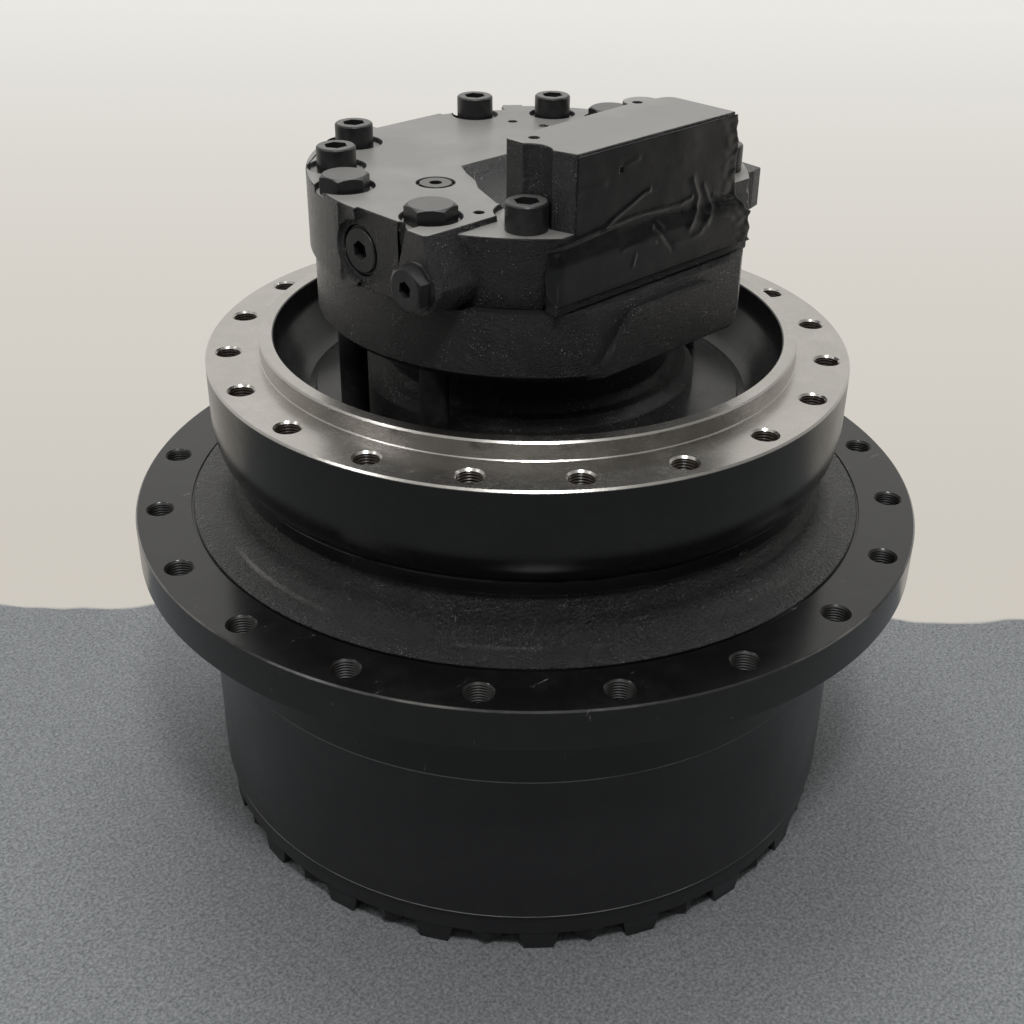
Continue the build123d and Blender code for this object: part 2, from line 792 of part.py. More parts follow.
with BuildPart() as carrier_screws:
    screw_seat = second_plate_bottom + carrier_screw_head_height + face_gap
    with BuildSketch(Plane.XY.offset(screw_seat)):
        with PolarLocations(carrier_screw_circle_radius, carrier_screw_count, start_angle=carrier_screw_phase):
            Circle(carrier_screw_head_radius)
            RegularPolygon(carrier_screw_socket / 2, 6, major_radius=False, mode=Mode.SUBTRACT)
    extrude(amount=-carrier_screw_head_height)
    with BuildSketch(Plane.XY.offset(screw_seat)):
        with PolarLocations(carrier_screw_circle_radius, carrier_screw_count, start_angle=carrier_screw_phase):
            Circle(carrier_screw_radius)
    extrude(amount=spindle_end + carrier_screw_reach - screw_seat)
carrier_screws.part.label = "carrier_screws"
export_step(carrier_screws.part, "parts/carrier_screws.step")


def planet_gear(teeth, centre_radius, place, low, height, bore):
    """One planet gear in mesh at its angle on the carrier."""
    angle = math.radians(place)
    centre = (centre_radius * math.cos(angle), centre_radius * math.sin(angle), low)
    with BuildPart() as gear:
        with BuildSketch(Plane(centre)):
            with BuildLine():
                Polyline(*gear_outline(teeth, planet_phase(place, teeth)), close=True)
            make_face()
            Circle(bore, mode=Mode.SUBTRACT)
        extrude(amount=height)
    return gear.part


def planet_bush(outer_radius, pin_radius, centre_radius, place, low, height):
    """The bush of one planet, running on its pin."""
    angle = math.radians(place)
    centre = (centre_radius * math.cos(angle), centre_radius * math.sin(angle), low)
    with BuildPart() as bush:
        with BuildSketch(Plane(centre)):
            Circle(outer_radius)
            Circle(pin_radius + running_clearance, mode=Mode.SUBTRACT)
        extrude(amount=height)
    return bush.part


# Second-stage planets with their bushes
for index in range(second_planet_count):
    place = full_turn * index / second_planet_count
    second_planet = planet_gear(second_planet_teeth, second_centre, place, second_planet_bottom,
                                second_planet_height, second_bush_radius)
    second_planet.label = f"second_planet_{index + 1}"
    export_step(second_planet, f"parts/second_planet_{index + 1}.step")
    second_bush = planet_bush(second_bush_radius, second_pin_radius, second_centre, place,
                              second_planet_bottom, second_planet_height)
    second_bush.label = f"second_planet_bush_{index + 1}"
    export_step(second_bush, f"parts/second_planet_bush_{index + 1}.step")

# Second sun, whose lower end is splined into the first carrier
with BuildPart() as second_sun:
    with BuildSketch(Plane.XY.offset(second_planet_bottom)):
        with BuildLine():
            Polyline(*gear_outline(second_sun_teeth, sun_phase(0, second_planet_teeth, second_sun_teeth)),
                     close=True)
        make_face()
        Circle(second_sun_bore, mode=Mode.SUBTRACT)
    extrude(amount=second_planet_height)
    with BuildSketch(Plane.XY.offset(second_planet_bottom)):
        Circle(second_sun_spline_radius)
        Circle(second_sun_bore, mode=Mode.SUBTRACT)
    extrude(amount=first_plate_bottom - second_planet_bottom)
second_sun.part.label = "second_sun"
export_step(second_sun.part, "parts/second_sun.step")

# First-stage carrier with its pins
with BuildPart() as first_carrier:
    with BuildSketch(Plane.XY.offset(first_plate_bottom)):
        Circle(first_plate_radius)
        Circle(second_sun_spline_radius, mode=Mode.SUBTRACT)
    extrude(amount=first_upper_plate)
    with BuildSketch(Plane.XY.offset(first_lower_bottom)):
        Circle(first_plate_radius)
        Circle(first_lower_bore, mode=Mode.SUBTRACT)
    extrude(amount=first_lower_plate)
    for index in range(first_planet_count):
        web_place = first_planet_phase + 360 * (index + 1 / 2) / first_planet_count
        web_edge = first_plate_radius - first_lower_plate
        with BuildSketch(Plane.XY.offset(first_lower_top)):
            with BuildLine():
                Polyline(*web_outline(first_web_inner_radius, web_edge, first_web_span, web_place),
                         close=True)
            make_face()
        extrude(amount=first_plate_bottom - first_lower_top)
    with BuildSketch(Plane.XY.offset(first_lower_bottom)):
        with PolarLocations(first_centre, first_planet_count, start_angle=first_planet_phase):
            Circle(first_pin_radius)
    extrude(amount=first_plate_top - first_lower_bottom, mode=Mode.SUBTRACT)
first_carrier.part.label = "first_stage_carrier"
export_step(first_carrier.part, "parts/first_stage_carrier.step")
with BuildPart() as first_pins:
    with BuildSketch(Plane.XY.offset(first_lower_bottom)):
        with PolarLocations(first_centre, first_planet_count, start_angle=first_planet_phase):
            Circle(first_pin_radius)
    extrude(amount=first_plate_top - first_lower_bottom)
first_pins.part.label = "first_planet_pins"
export_step(first_pins.part, "parts/first_planet_pins.step")

# First-stage planets with their bushes
for index in range(first_planet_count):
    place = first_planet_phase + 360 * index / first_planet_count
    first_planet = planet_gear(first_planet_teeth, first_centre, place, first_planet_bottom,
                               first_planet_height, first_bush_radius)
    first_planet.label = f"first_planet_{index + 1}"
    export_step(first_planet, f"parts/first_planet_{index + 1}.step")
    first_bush = planet_bush(first_bush_radius, first_pin_radius, first_centre, place,
                             first_planet_bottom, first_planet_height)
    first_bush.label = f"first_planet_bush_{index + 1}"
    export_step(first_bush, f"parts/first_planet_bush_{index + 1}.step")

# First sun on its long shaft, the coupling and the motor shaft above it
with BuildPart() as first_sun:
    with BuildSketch(Plane.XY.offset(first_planet_bottom)):
        with BuildLine():
            Polyline(
                *gear_outline(first_sun_teeth,
                              sun_phase(first_planet_phase, first_planet_teeth, first_sun_teeth)),
                close=True,
            )
        make_face()
    extrude(amount=first_planet_height)
    coupling_bottom = -(coupling_top_depth + coupling_length)
    with BuildSketch(Plane.XY.offset(first_planet_top)):
        Circle(first_sun_shaft_radius)
    extrude(amount=coupling_bottom - first_planet_top)
    with BuildSketch(Plane.XY.offset(coupling_bottom)):
        Circle(motor_shaft_radius)
    extrude(amount=-shaft_joint_depth - face_gap - coupling_bottom)
first_sun.part.label = "first_sun_shaft"
export_step(first_sun.part, "parts/first_sun_shaft.step")
with BuildPart() as coupling:
    add(turned_ring(coupling_radius, motor_shaft_radius, coupling_bottom, -coupling_top_depth))
coupling.part.label = "shaft_coupling"
export_step(coupling.part, "parts/shaft_coupling.step")
with BuildPart() as motor_shaft:
    with BuildSketch(Plane.XY.offset(-shaft_joint_depth)):
        Circle(motor_shaft_radius)
    extrude(amount=shaft_joint_depth + case_top_height + rear_bearing_height)
motor_shaft.part.label = "motor_shaft"
export_step(motor_shaft.part, "parts/motor_shaft.step")

# Motor case, its foot seated in the spindle's bowl
case_floor = -case_bore_depth
foot_bottom = -(bowl_depth + case_pilot_length)
shaft_bearing_bottom = -shaft_bearing_depth
with BuildPart() as motor_case:
    with BuildSketch(Plane.XZ):
        with BuildLine():
            Polyline(
                (case_bore_radius, case_top_height),
                (case_radius, case_top_height),
                (case_radius, case_bottom_height + case_lower_fillet),
                (case_radius - case_lower_fillet, case_bottom_height),
                (case_neck_radius, case_bottom_height),
                (case_neck_radius, -case_foot_drop + case_lower_fillet),
                (case_neck_radius + case_lower_fillet, -case_foot_drop),
                (case_foot_radius, -case_foot_drop),
                (case_flange_radius, -case_foot_drop - case_foot_chamfer),
                (case_flange_radius, -bowl_depth),
                (case_pilot_radius, -bowl_depth),
                (case_pilot_radius, foot_bottom),
                (motor_shaft_radius + case_lower_fillet, foot_bottom),
                (motor_shaft_radius + case_lower_fillet, shaft_bearing_bottom - shaft_seal_height),
                (shaft_seal_radius, shaft_bearing_bottom - shaft_seal_height),
                (shaft_seal_radius, shaft_bearing_bottom),
                (shaft_bearing_radius, shaft_bearing_bottom),
                (shaft_bearing_radius, case_floor),
                (case_bore_radius, case_floor),
                close=True,
            )
        make_face()
    revolve(axis=Axis.Z)
    with BuildSketch(Plane.XZ.offset(case_flat_distance)):
        with BuildLine():
            chord = math.sqrt(case_radius ** 2 - case_flat_distance ** 2)
            flat_shoulder = case_bottom_height + case_lower_fillet + face_gap * 4
            Polyline(
                (-case_flat_half_width, case_flat_top),
                (case_flat_half_width, case_flat_top),
                (chord + cut_overrun, flat_shoulder),
                (chord + cut_overrun, case_bottom_height - cut_overrun),
                (-chord - cut_overrun, case_bottom_height - cut_overrun),
                (-chord - cut_overrun, flat_shoulder),
                close=True,
            )
        make_face()
    extrude(amount=case_radius - case_flat_distance + cut_overrun, mode=Mode.SUBTRACT)
    with BuildSketch(Plane.XY.offset(case_top_height)):
        with GridLocations(2 * motor_bolt_x, 2 * motor_bolt_y, 2, 2):
            Circle(motor_bolt_hole_radius)
    extrude(amount=case_bottom_height - case_top_height, mode=Mode.SUBTRACT)
    with BuildSketch(Plane.XY.offset(case_top_height)):
        with GridLocations(2 * cap_screw_x_outer, 0, 2, 1):
            with Locations((0, cap_screw_y_outer)):
                Circle(cap_screw_radius)
        with GridLocations(2 * cap_screw_x_inner, 0, 2, 1):
            with Locations((0, cap_screw_y_inner)):
                Circle(cap_screw_radius)
        with Locations((-cap_screw_x_front, cap_screw_y_front), (cap_screw_x_front, cap_screw_y_front)):
            Circle(cap_screw_radius)
    extrude(amount=-cap_screw_reach, mode=Mode.SUBTRACT)
motor_case.part.label = "motor_case"
export_step(motor_case.part, "parts/motor_case.step")


def cap_screw_places():
    """Centres of the six cap screws, in pairs about the middle plane."""
    pairs = [
        (cap_screw_x_outer, cap_screw_y_outer),
        (cap_screw_x_inner, cap_screw_y_inner),
        (cap_screw_x_front, cap_screw_y_front),
    ]
    return [(side * x, y) for x, y in pairs for side in (-1, 1)]


# Motor cover: machined top, screw pocket, plug pads, two ears and the port block
with BuildPart() as cover_front_cut:
    with BuildSketch(Plane.XZ):
        with BuildLine():
            Polyline(
                (motor_cover_foot_radius, case_top_height),
                (motor_cover_front_radius, pocket_face),
                (motor_cover_radius + pocket_depth, pocket_face),
                (motor_cover_radius + pocket_depth, case_top_height),
                close=True,
            )
        make_face()
    revolve(axis=Axis.Z)
    split(bisect_by=Plane.XZ.offset(plate_edge), keep=Keep.TOP)
with BuildPart() as motor_cover:
    pad_middle = (pad_low + pad_high) / 2
    pad_root = motor_cover_radius - pad_distance + motor_bolt_recess_radius
    with BuildSketch(Plane.XY.offset(case_top_height)):
        Circle(motor_cover_radius)
        with Locations((0, -block_front)):
            Rectangle(2 * motor_cover_radius, motor_cover_radius,
                      align=(Align.CENTER, Align.MAX), mode=Mode.SUBTRACT)
        with Locations((0, motor_cover_back_flat)):
            Rectangle(2 * motor_cover_radius, motor_cover_radius,
                      align=(Align.CENTER, Align.MIN), mode=Mode.SUBTRACT)
        for side, inward in ((-1, Align.MIN), (1, Align.MAX)):
            outward = Align.MAX if inward == Align.MIN else Align.MIN
            with Locations((side * pad_distance, pad_middle)):
                Rectangle(pad_root, pad_high - pad_low, align=(inward, Align.CENTER))
                Rectangle(pad_root, pad_high - pad_low, align=(outward, Align.CENTER), mode=Mode.SUBTRACT)
    extrude(amount=motor_cover_height)
    add(cover_front_cut.part, mode=Mode.SUBTRACT)
    with BuildSketch(Plane.XY.offset(pocket_face)):
        with Locations((0, -plate_edge)):
            Rectangle(2 * motor_cover_radius, motor_cover_radius, align=(Align.CENTER, Align.MAX))
    extrude(amount=pocket_depth, mode=Mode.SUBTRACT)
    with BuildSketch(Plane.YZ.offset(-ear_reach)):
        with BuildLine():
            ear_side = Polyline(
                (-ear_low_far, ear_plug_z),
                (-plate_edge, motor_top),
                (-ear_top_near, motor_top),
                (-ear_low_near, ear_plug_z),
            )
            ear_radius = (ear_low_far - ear_low_near) / 2
            ThreePointArc(ear_side @ 1, (ear_plug_y, ear_plug_z - ear_radius), ear_side @ 0)
        make_face()
    extrude(amount=ear_depth)
    with BuildSketch(Plane.XY.offset(right_ear_low)):
        with BuildLine():
            Polyline(
                (right_ear_reach - ear_depth, -right_ear_front),
                (right_ear_reach - right_ear_corner, -right_ear_front),
                (right_ear_reach, -right_ear_front + right_ear_corner / 2),
                (right_ear_reach, -right_ear_back),
                (right_ear_reach - ear_depth, -right_ear_back),
                close=True,
            )
        make_face()
    extrude(amount=right_ear_top - right_ear_low)
    with BuildSketch(Plane.YZ.offset(-shoulder_left)):
        with BuildLine():
            shoulder_top = case_top_height + block_base_step + shoulder_height
            Polyline(
                (-plate_edge, case_top_height + block_base_step),
                (-shoulder_front, case_top_height + block_base_step),
                (-shoulder_front, shoulder_top - shoulder_bevel_height),
                (-shoulder_front + shoulder_bevel_width, shoulder_top),
                (-plate_edge, shoulder_top),
                close=True,
            )
        make_face()
    extrude(amount=shoulder_left + shoulder_right)
    with BuildSketch(Plane.XY.offset(case_top_height + block_base_step)):
        with BuildLine():
            Polyline(
                (-block_left, -block_back),
                (-block_left, -cap_screw_x_front),
                (-block_front_left, -block_front),
                (block_right, -block_front),
                (block_right, -block_back),
                close=True,
            )
        make_face()
    extrude(amount=block_top - case_top_height - block_base_step)
    with BuildSketch(Plane.XY.offset(pocket_face)):
        with Locations(*[place for place in cap_screw_places() if place[1] < 0]):
            Circle(screw_access_radius)
    extrude(amount=block_top - pocket_face, mode=Mode.SUBTRACT)
    with BuildSketch(Plane.XY.offset(motor_top)):
        with Locations(*[place for place in cap_screw_places() if place[1] > 0]):
            Circle(spot_face_radius)
    extrude(amount=-spot_face_depth, mode=Mode.SUBTRACT)
    with BuildSketch(Plane.XY.offset(motor_top)):
        with GridLocations(2 * motor_bolt_x, 2 * motor_bolt_y, 2, 2):
            Circle(motor_bolt_recess_radius)
    extrude(amount=-motor_bolt_recess_depth, mode=Mode.SUBTRACT)
    with BuildSketch(Plane.XY.offset(motor_top)):
        with GridLocations(2 * motor_bolt_x, 2 * motor_bolt_y, 2, 2):
            Circle(motor_bolt_hole_radius)
        with Locations(*cap_screw_places()):
            Circle(cap_screw_radius + cap_screw_hole_clearance)
    extrude(amount=-motor_cover_height, mode=Mode.SUBTRACT)
    with BuildSketch(Plane.XY.offset(motor_top)):
        with Locations((top_plug_x, top_plug_y)):
            Circle(top_plug_radius)
    extrude(amount=-top_plug_depth, mode=Mode.SUBTRACT)
    with BuildSketch(Plane.XY.offset(case_top_height)):
        Circle(rear_bearing_radius)
    extrude(amount=rear_bearing_height, mode=Mode.SUBTRACT)
    with BuildSketch(Plane.YZ.offset(-pad_distance)):
        with Locations((spool_plug_y, spool_plug_z)):
            Circle(spool_radius + running_clearance)
    extrude(amount=2 * pad_distance, mode=Mode.SUBTRACT)
    with BuildSketch(Plane.YZ.offset(-pad_distance), Plane.YZ.offset(pad_distance - spool_plug_depth)):
        with Locations((spool_plug_y, spool_plug_z)):
            Circle(spool_plug_radius)
    extrude(amount=spool_plug_depth, mode=Mode.SUBTRACT)
    with BuildSketch(Plane.YZ.offset(-ear_reach)):
        with Locations((ear_plug_y, ear_plug_z)):
            Circle(ear_plug_thread_radius)
    extrude(amount=ear_plug_thread_length, mode=Mode.SUBTRACT)
motor_cover.part.label = "motor_cover"
export_step(motor_cover.part, "parts/motor_cover.step")

# Control spool in its cross bore, with a plug at each end
spool_half = pad_distance - spool_plug_depth - spool_end_gap
with BuildPart() as spool:
    with BuildSketch(Plane.YZ.offset(-spool_half)):
        with Locations((spool_plug_y, spool_plug_z)):
            Circle(spool_neck_radius)
    extrude(amount=2 * spool_half)
    for start in (-spool_half, -spool_land / 2, spool_half - spool_land):
        with BuildSketch(Plane.YZ.offset(start)):
            with Locations((spool_plug_y, spool_plug_z)):
                Circle(spool_radius)
        extrude(amount=spool_land)
spool.part.label = "control_spool"
export_step(spool.part, "parts/control_spool.step")
with BuildPart() as spool_plugs:
    for side in (-1, 1):
        face_plane = Plane((side * pad_distance, spool_plug_y, spool_plug_z), x_dir=(0, 1, 0),
                           z_dir=(-side, 0, 0))
        with BuildSketch(face_plane):
            Circle(spool_plug_radius)
        extrude(amount=spool_plug_depth)
        with BuildSketch(face_plane):
            RegularPolygon(spool_plug_socket / 2, 6, major_radius=False)
        extrude(amount=spool_plug_socket_depth, mode=Mode.SUBTRACT)
spool_plugs.part.label = "spool_plugs"
export_step(spool_plugs.part, "parts/spool_plugs.step")

# Hexagon plug in the left ear and the small plug in the top face
with BuildPart() as ear_plug:
    ear_plane = Plane((-ear_reach, ear_plug_y, ear_plug_z), x_dir=(0, 1, 0), z_dir=(-1, 0, 0))
    with BuildSketch(ear_plane):
        Circle(ear_plug_collar_radius)
    extrude(amount=ear_plug_collar)
    with BuildSketch(ear_plane):
        RegularPolygon(ear_plug_flats / 2, 6, major_radius=False)
    extrude(amount=ear_plug_length)
    with BuildSketch(ear_plane):
        Circle(ear_plug_thread_radius)
    extrude(amount=-ear_plug_thread_length)
    with BuildSketch(ear_plane.offset(ear_plug_length)):
        RegularPolygon(ear_plug_socket / 2, 6, major_radius=False)
    extrude(amount=-ear_plug_length, mode=Mode.SUBTRACT)
ear_plug.part.label = "ear_plug"
export_step(ear_plug.part, "parts/ear_plug.step")
with BuildPart() as top_plug:
    with BuildSketch(Plane.XY.offset(motor_top)):
        with Locations((top_plug_x, top_plug_y)):
            Circle(top_plug_radius)
    extrude(amount=-top_plug_depth)
    with BuildSketch(Plane.XY.offset(motor_top)):
        with Locations((top_plug_x, top_plug_y)):
            Circle(top_plug_hole_radius)
    extrude(amount=-top_plug_depth / 2, mode=Mode.SUBTRACT)
top_plug.part.label = "top_plug"
export_step(top_plug.part, "parts/top_plug.step")

# Cap screws that hold the motor cover to its case
with BuildPart() as cap_screws:
    for place in cap_screw_places():
        seat = pocket_face if place[1] < 0 else motor_top - spot_face_depth
        with BuildSketch(Plane((*place, seat))):
            Circle(cap_screw_head_radius)
        extrude(amount=cap_screw_head_height)
        with BuildSketch(Plane((*place, seat))):
            Circle(cap_screw_radius)
        extrude(amount=case_top_height - cap_screw_reach + face_gap - seat)
        with BuildSketch(Plane((*place, seat + cap_screw_head_height))):
            RegularPolygon(cap_screw_socket / 2, 6, major_radius=False)
        extrude(amount=-cap_screw_socket_depth, mode=Mode.SUBTRACT)
cap_screws.part.label = "cap_screws"
export_step(cap_screws.part, "parts/cap_screws.step")

# Long hexagon bolts from the cover's top down into the floor of the bowl
with BuildPart() as motor_bolts:
    bolt_seat = motor_top - motor_bolt_recess_depth
    with BuildSketch(Plane.XY.offset(bolt_seat)):
        with GridLocations(2 * motor_bolt_x, 2 * motor_bolt_y, 2, 2):
            RegularPolygon(motor_bolt_flats / 2, 6, major_radius=False)
    extrude(amount=motor_bolt_head_height)
    with BuildSketch(Plane.XY.offset(bolt_seat)):
        with GridLocations(2 * motor_bolt_x, 2 * motor_bolt_y, 2, 2):
            Circle(motor_bolt_radius)
    extrude(amount=-bowl_depth - motor_bolt_reach - bolt_seat)
motor_bolts.part.label = "motor_bolts"
export_step(motor_bolts.part, "parts/motor_bolts.step")

# Shipping film over the port face and the shoulder below it
with BuildPart() as film:
    film_back = -block_front - film_gap
    film_low_back = -shoulder_front - film_gap
    film_bottom = case_top_height + film_bottom_rise
    bevel_low = shoulder_top - shoulder_bevel_height
    with BuildSketch(Plane.YZ.offset(-block_front_left)):
        with BuildLine():
            Polyline(
                (film_back, shoulder_top),
                (film_back, block_top - film_top_drop),
                (film_back - film_thickness, block_top - film_top_drop),
                (film_back - film_thickness, shoulder_top),
                close=True,
            )
        make_face()
    extrude(amount=block_front_left + block_right + film_overhang)
    with BuildSketch(Plane.YZ.offset(-shoulder_left)):
        with BuildLine():
            Polyline(
                (film_back, shoulder_top),
                (film_low_back, bevel_low),
                (film_low_back, film_bottom),
                (film_low_back - film_thickness, film_bottom),
                (film_low_back - film_thickness, bevel_low),
                (film_back - film_thickness, shoulder_top),
                close=True,
            )
        make_face()
    extrude(amount=shoulder_left + shoulder_right + film_overhang)
film.part.label = "port_film"
export_step(film.part, "parts/port_film.step")

# Motor bearings: outer rings in the case and cover, inner rings on the shaft
outer_ring_radius = motor_shaft_radius + shaft_inner_ring_wall + running_clearance
bearing_levels = [
    (shaft_bearing_radius, shaft_bearing_bottom, shaft_bearing_bottom + shaft_bearing_height),
    (rear_bearing_radius, case_top_height, case_top_height + rear_bearing_height),
]
with BuildPart() as motor_outer_rings:
    for radius, low, high in bearing_levels:
        add(turned_ring(radius, outer_ring_radius, low, high))
motor_outer_rings.part.label = "motor_bearing_outer_rings"
export_step(motor_outer_rings.part, "parts/motor_bearing_outer_rings.step")
with BuildPart() as motor_inner_rings:
    for radius, low, high in bearing_levels:
        add(turned_ring(motor_shaft_radius + shaft_inner_ring_wall, motor_shaft_radius, low, high))
motor_inner_rings.part.label = "motor_bearing_inner_rings"
export_step(motor_inner_rings.part, "parts/motor_bearing_inner_rings.step")
with BuildPart() as shaft_seal:
    add(turned_ring(shaft_seal_radius, motor_shaft_radius + running_clearance,
                    shaft_bearing_bottom - shaft_seal_height, shaft_bearing_bottom))
shaft_seal.part.label = "shaft_seal"
export_step(shaft_seal.part, "parts/shaft_seal.step")

# Swash plate and valve plate, with the cylinder block and its pistons between them
swash_top = case_floor + swash_thickness
valve_plate_low = case_top_height - valve_plate_thickness
drum_top = valve_plate_low - block_drum_top_gap
drum_bottom = swash_top + shoe_height + block_drum_gap
piston_length = (drum_top - drum_bottom) * piston_length_share
with BuildPart() as swash_plate:
    add(turned_ring(swash_radius, motor_shaft_radius + cut_overrun, case_floor, swash_top))
swash_plate.part.label = "swash_plate"
export_step(swash_plate.part, "parts/swash_plate.step")
with BuildPart() as valve_plate:
    add(turned_ring(valve_plate_radius, motor_shaft_radius + cut_overrun, valve_plate_low, case_top_height))
valve_plate.part.label = "valve_plate"
export_step(valve_plate.part, "parts/valve_plate.step")
with BuildPart() as cylinder_block:
    with BuildSketch(Plane.XY.offset(drum_bottom)):
        Circle(block_drum_radius)
        Circle(motor_shaft_radius, mode=Mode.SUBTRACT)
    extrude(amount=drum_top - drum_bottom)
    with BuildSketch(Plane.XY.offset(drum_bottom)):
        with PolarLocations(piston_circle_radius, piston_count):
            Circle(piston_radius + running_clearance)
    extrude(amount=piston_length + face_gap, mode=Mode.SUBTRACT)
cylinder_block.part.label = "cylinder_block"
export_step(cylinder_block.part, "parts/cylinder_block.step")
with BuildPart() as pistons:
    shoe_low = swash_top + running_clearance
    with BuildSketch(Plane.XY.offset(shoe_low)):
        with PolarLocations(piston_circle_radius, piston_count):
            Circle(shoe_radius)
    extrude(amount=shoe_height)
    with BuildSketch(Plane.XY.offset(shoe_low)):
        with PolarLocations(piston_circle_radius, piston_count):
            Circle(piston_radius)
    extrude(amount=drum_bottom + piston_length - shoe_low)
pistons.part.label = "pistons"
export_step(pistons.part, "parts/pistons.step")

# Parking brake: friction discs on the cylinder block between plates in the case
with BuildPart() as brake_discs:
    for index in range(brake_disc_count):
        disc_low = brake_disc_bottom + index * brake_disc_pitch
        add(turned_ring(brake_disc_outer, block_drum_radius, disc_low, disc_low + brake_disc_thickness))
brake_discs.part.label = "brake_friction_discs"
export_step(brake_discs.part, "parts/brake_friction_discs.step")
with BuildPart() as brake_plates:
    for index in range(brake_disc_count):
        plate_low = brake_disc_bottom + (index + 1 / 2) * brake_disc_pitch
        add(turned_ring(case_bore_radius, brake_plate_inner, plate_low, plate_low + brake_disc_thickness))
brake_plates.part.label = "brake_steel_plates"
export_step(brake_plates.part, "parts/brake_steel_plates.step")
with BuildPart() as brake_piston:
    piston_low = brake_disc_bottom + brake_disc_count * brake_disc_pitch
    add(turned_ring(case_bore_radius, brake_plate_inner, piston_low, piston_low + brake_piston_height))
brake_piston.part.label = "brake_piston"
export_step(brake_piston.part, "parts/brake_piston.step")
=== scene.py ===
import json
import math
import bmesh
import bpy
from mathutils import Matrix, Vector, noise


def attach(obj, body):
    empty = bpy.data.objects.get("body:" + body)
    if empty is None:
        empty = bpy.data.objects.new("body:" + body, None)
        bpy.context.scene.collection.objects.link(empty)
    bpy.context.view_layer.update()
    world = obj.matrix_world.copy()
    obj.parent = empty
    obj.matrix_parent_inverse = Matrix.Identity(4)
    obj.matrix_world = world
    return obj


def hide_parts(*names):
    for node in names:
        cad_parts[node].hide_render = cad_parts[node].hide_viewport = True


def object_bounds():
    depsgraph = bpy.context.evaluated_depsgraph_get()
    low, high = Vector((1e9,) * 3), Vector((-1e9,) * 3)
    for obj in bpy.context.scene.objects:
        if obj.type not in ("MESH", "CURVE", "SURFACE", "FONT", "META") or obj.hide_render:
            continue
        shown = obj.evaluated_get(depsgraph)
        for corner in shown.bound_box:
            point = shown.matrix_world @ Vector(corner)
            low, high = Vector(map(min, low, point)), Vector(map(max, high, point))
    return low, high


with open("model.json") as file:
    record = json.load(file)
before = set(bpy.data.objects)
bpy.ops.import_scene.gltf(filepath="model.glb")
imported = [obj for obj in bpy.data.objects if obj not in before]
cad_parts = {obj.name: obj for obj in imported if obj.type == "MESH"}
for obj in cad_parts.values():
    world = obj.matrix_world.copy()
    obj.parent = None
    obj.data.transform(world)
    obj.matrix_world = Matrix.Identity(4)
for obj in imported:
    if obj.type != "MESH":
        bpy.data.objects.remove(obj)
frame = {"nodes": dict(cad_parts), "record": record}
cad_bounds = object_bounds()

# Camera, floor and room light
# The camera stands at the height and distance of the photograph's, looking down on the port side.
# The floor under the lugs is speckled grey up to a line behind the drive, and pale beyond it.
camera_place = Vector((-0.8342, -0.8319, 0.4984))
camera_heading = math.radians(45.5055)
camera_pitch = math.radians(-29.993)
camera_roll = math.radians(0.64)
camera_data = bpy.data.cameras.new("camera")
camera_data.lens = 49.57
camera_data.sensor_width = 36
camera = bpy.data.objects.new("camera", camera_data)
turn = (Matrix.Rotation(camera_heading - math.pi / 2, 4, "Z")
        @ Matrix.Rotation(math.pi / 2 + camera_pitch, 4, "X")
        @ Matrix.Rotation(camera_roll, 4, "Z"))
camera.matrix_world = Matrix.Translation(camera_place) @ turn
bpy.context.scene.collection.objects.link(camera)
bpy.context.scene.camera = camera
bpy.context.scene.view_settings.view_transform = "Standard"


def set_input(tree, socket, value):
    """Links an input to another socket, or sets its value."""
    if isinstance(value, bpy.types.NodeSocket):
        tree.links.new(value, socket)
    else:
        socket.default_value = value


def add_node(tree, kind, inputs=None, **settings):
    """Adds a shader node, with its settings, and with its inputs set or linked."""
    made = tree.nodes.new(kind)
    for name, value in settings.items():
        setattr(made, name, value)
    for name, value in (inputs or {}).items():
        set_input(tree, made.inputs[name], value)
    return made


def blend_colours(tree, share, first, second):
    """Mixes two colours, or two colour sockets, by a share."""
    mixed = add_node(tree, "ShaderNodeMix", {"Factor": share, 6: first, 7: second}, data_type="RGBA")
    return mixed.outputs[2]


def ramp(tree, value, low, high, at_low=0.0, at_high=1.0):
    """Maps a value from one range to another, held at both ends."""
    mapped = add_node(tree, "ShaderNodeMapRange", {"Value": value, "From Min": low, "From Max": high,
                                                   "To Min": at_low, "To Max": at_high}, clamp=True)
    return mapped.outputs["Result"]


def sums(tree, kind, first, *others):
    """Arithmetic on a value or socket and any others, one step after another."""
    for other in others or (0.5,):
        first = add_node(tree, "ShaderNodeMath", {0: first, 1: other}, operation=kind).outputs[0]
    return first


def reach_along(tree, vector, direction):
    """How far a vector reaches in a direction."""
    product = add_node(tree, "ShaderNodeVectorMath", {0: vector, 1: direction}, operation="DOT_PRODUCT")
    return product.outputs["Value"]


def noise_value(tree, vector, scale, detail, roughness=0.5):
    """The value of a noise texture."""
    pattern = add_node(tree, "ShaderNodeTexNoise", {"Vector": vector, "Scale": scale, "Detail": detail,
                                                    "Roughness": roughness})
    return pattern.outputs["Fac"]


def finished_object(name, shape, body=None):
    """Makes a scene object of a bmesh, and lets it ride on a body of the frame."""
    mesh = bpy.data.meshes.new(name)
    shape.to_mesh(mesh)
    shape.free()
    made = bpy.data.objects.new(name, mesh)
    bpy.context.scene.collection.objects.link(made)
    if body:
        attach(made, body)
    return made


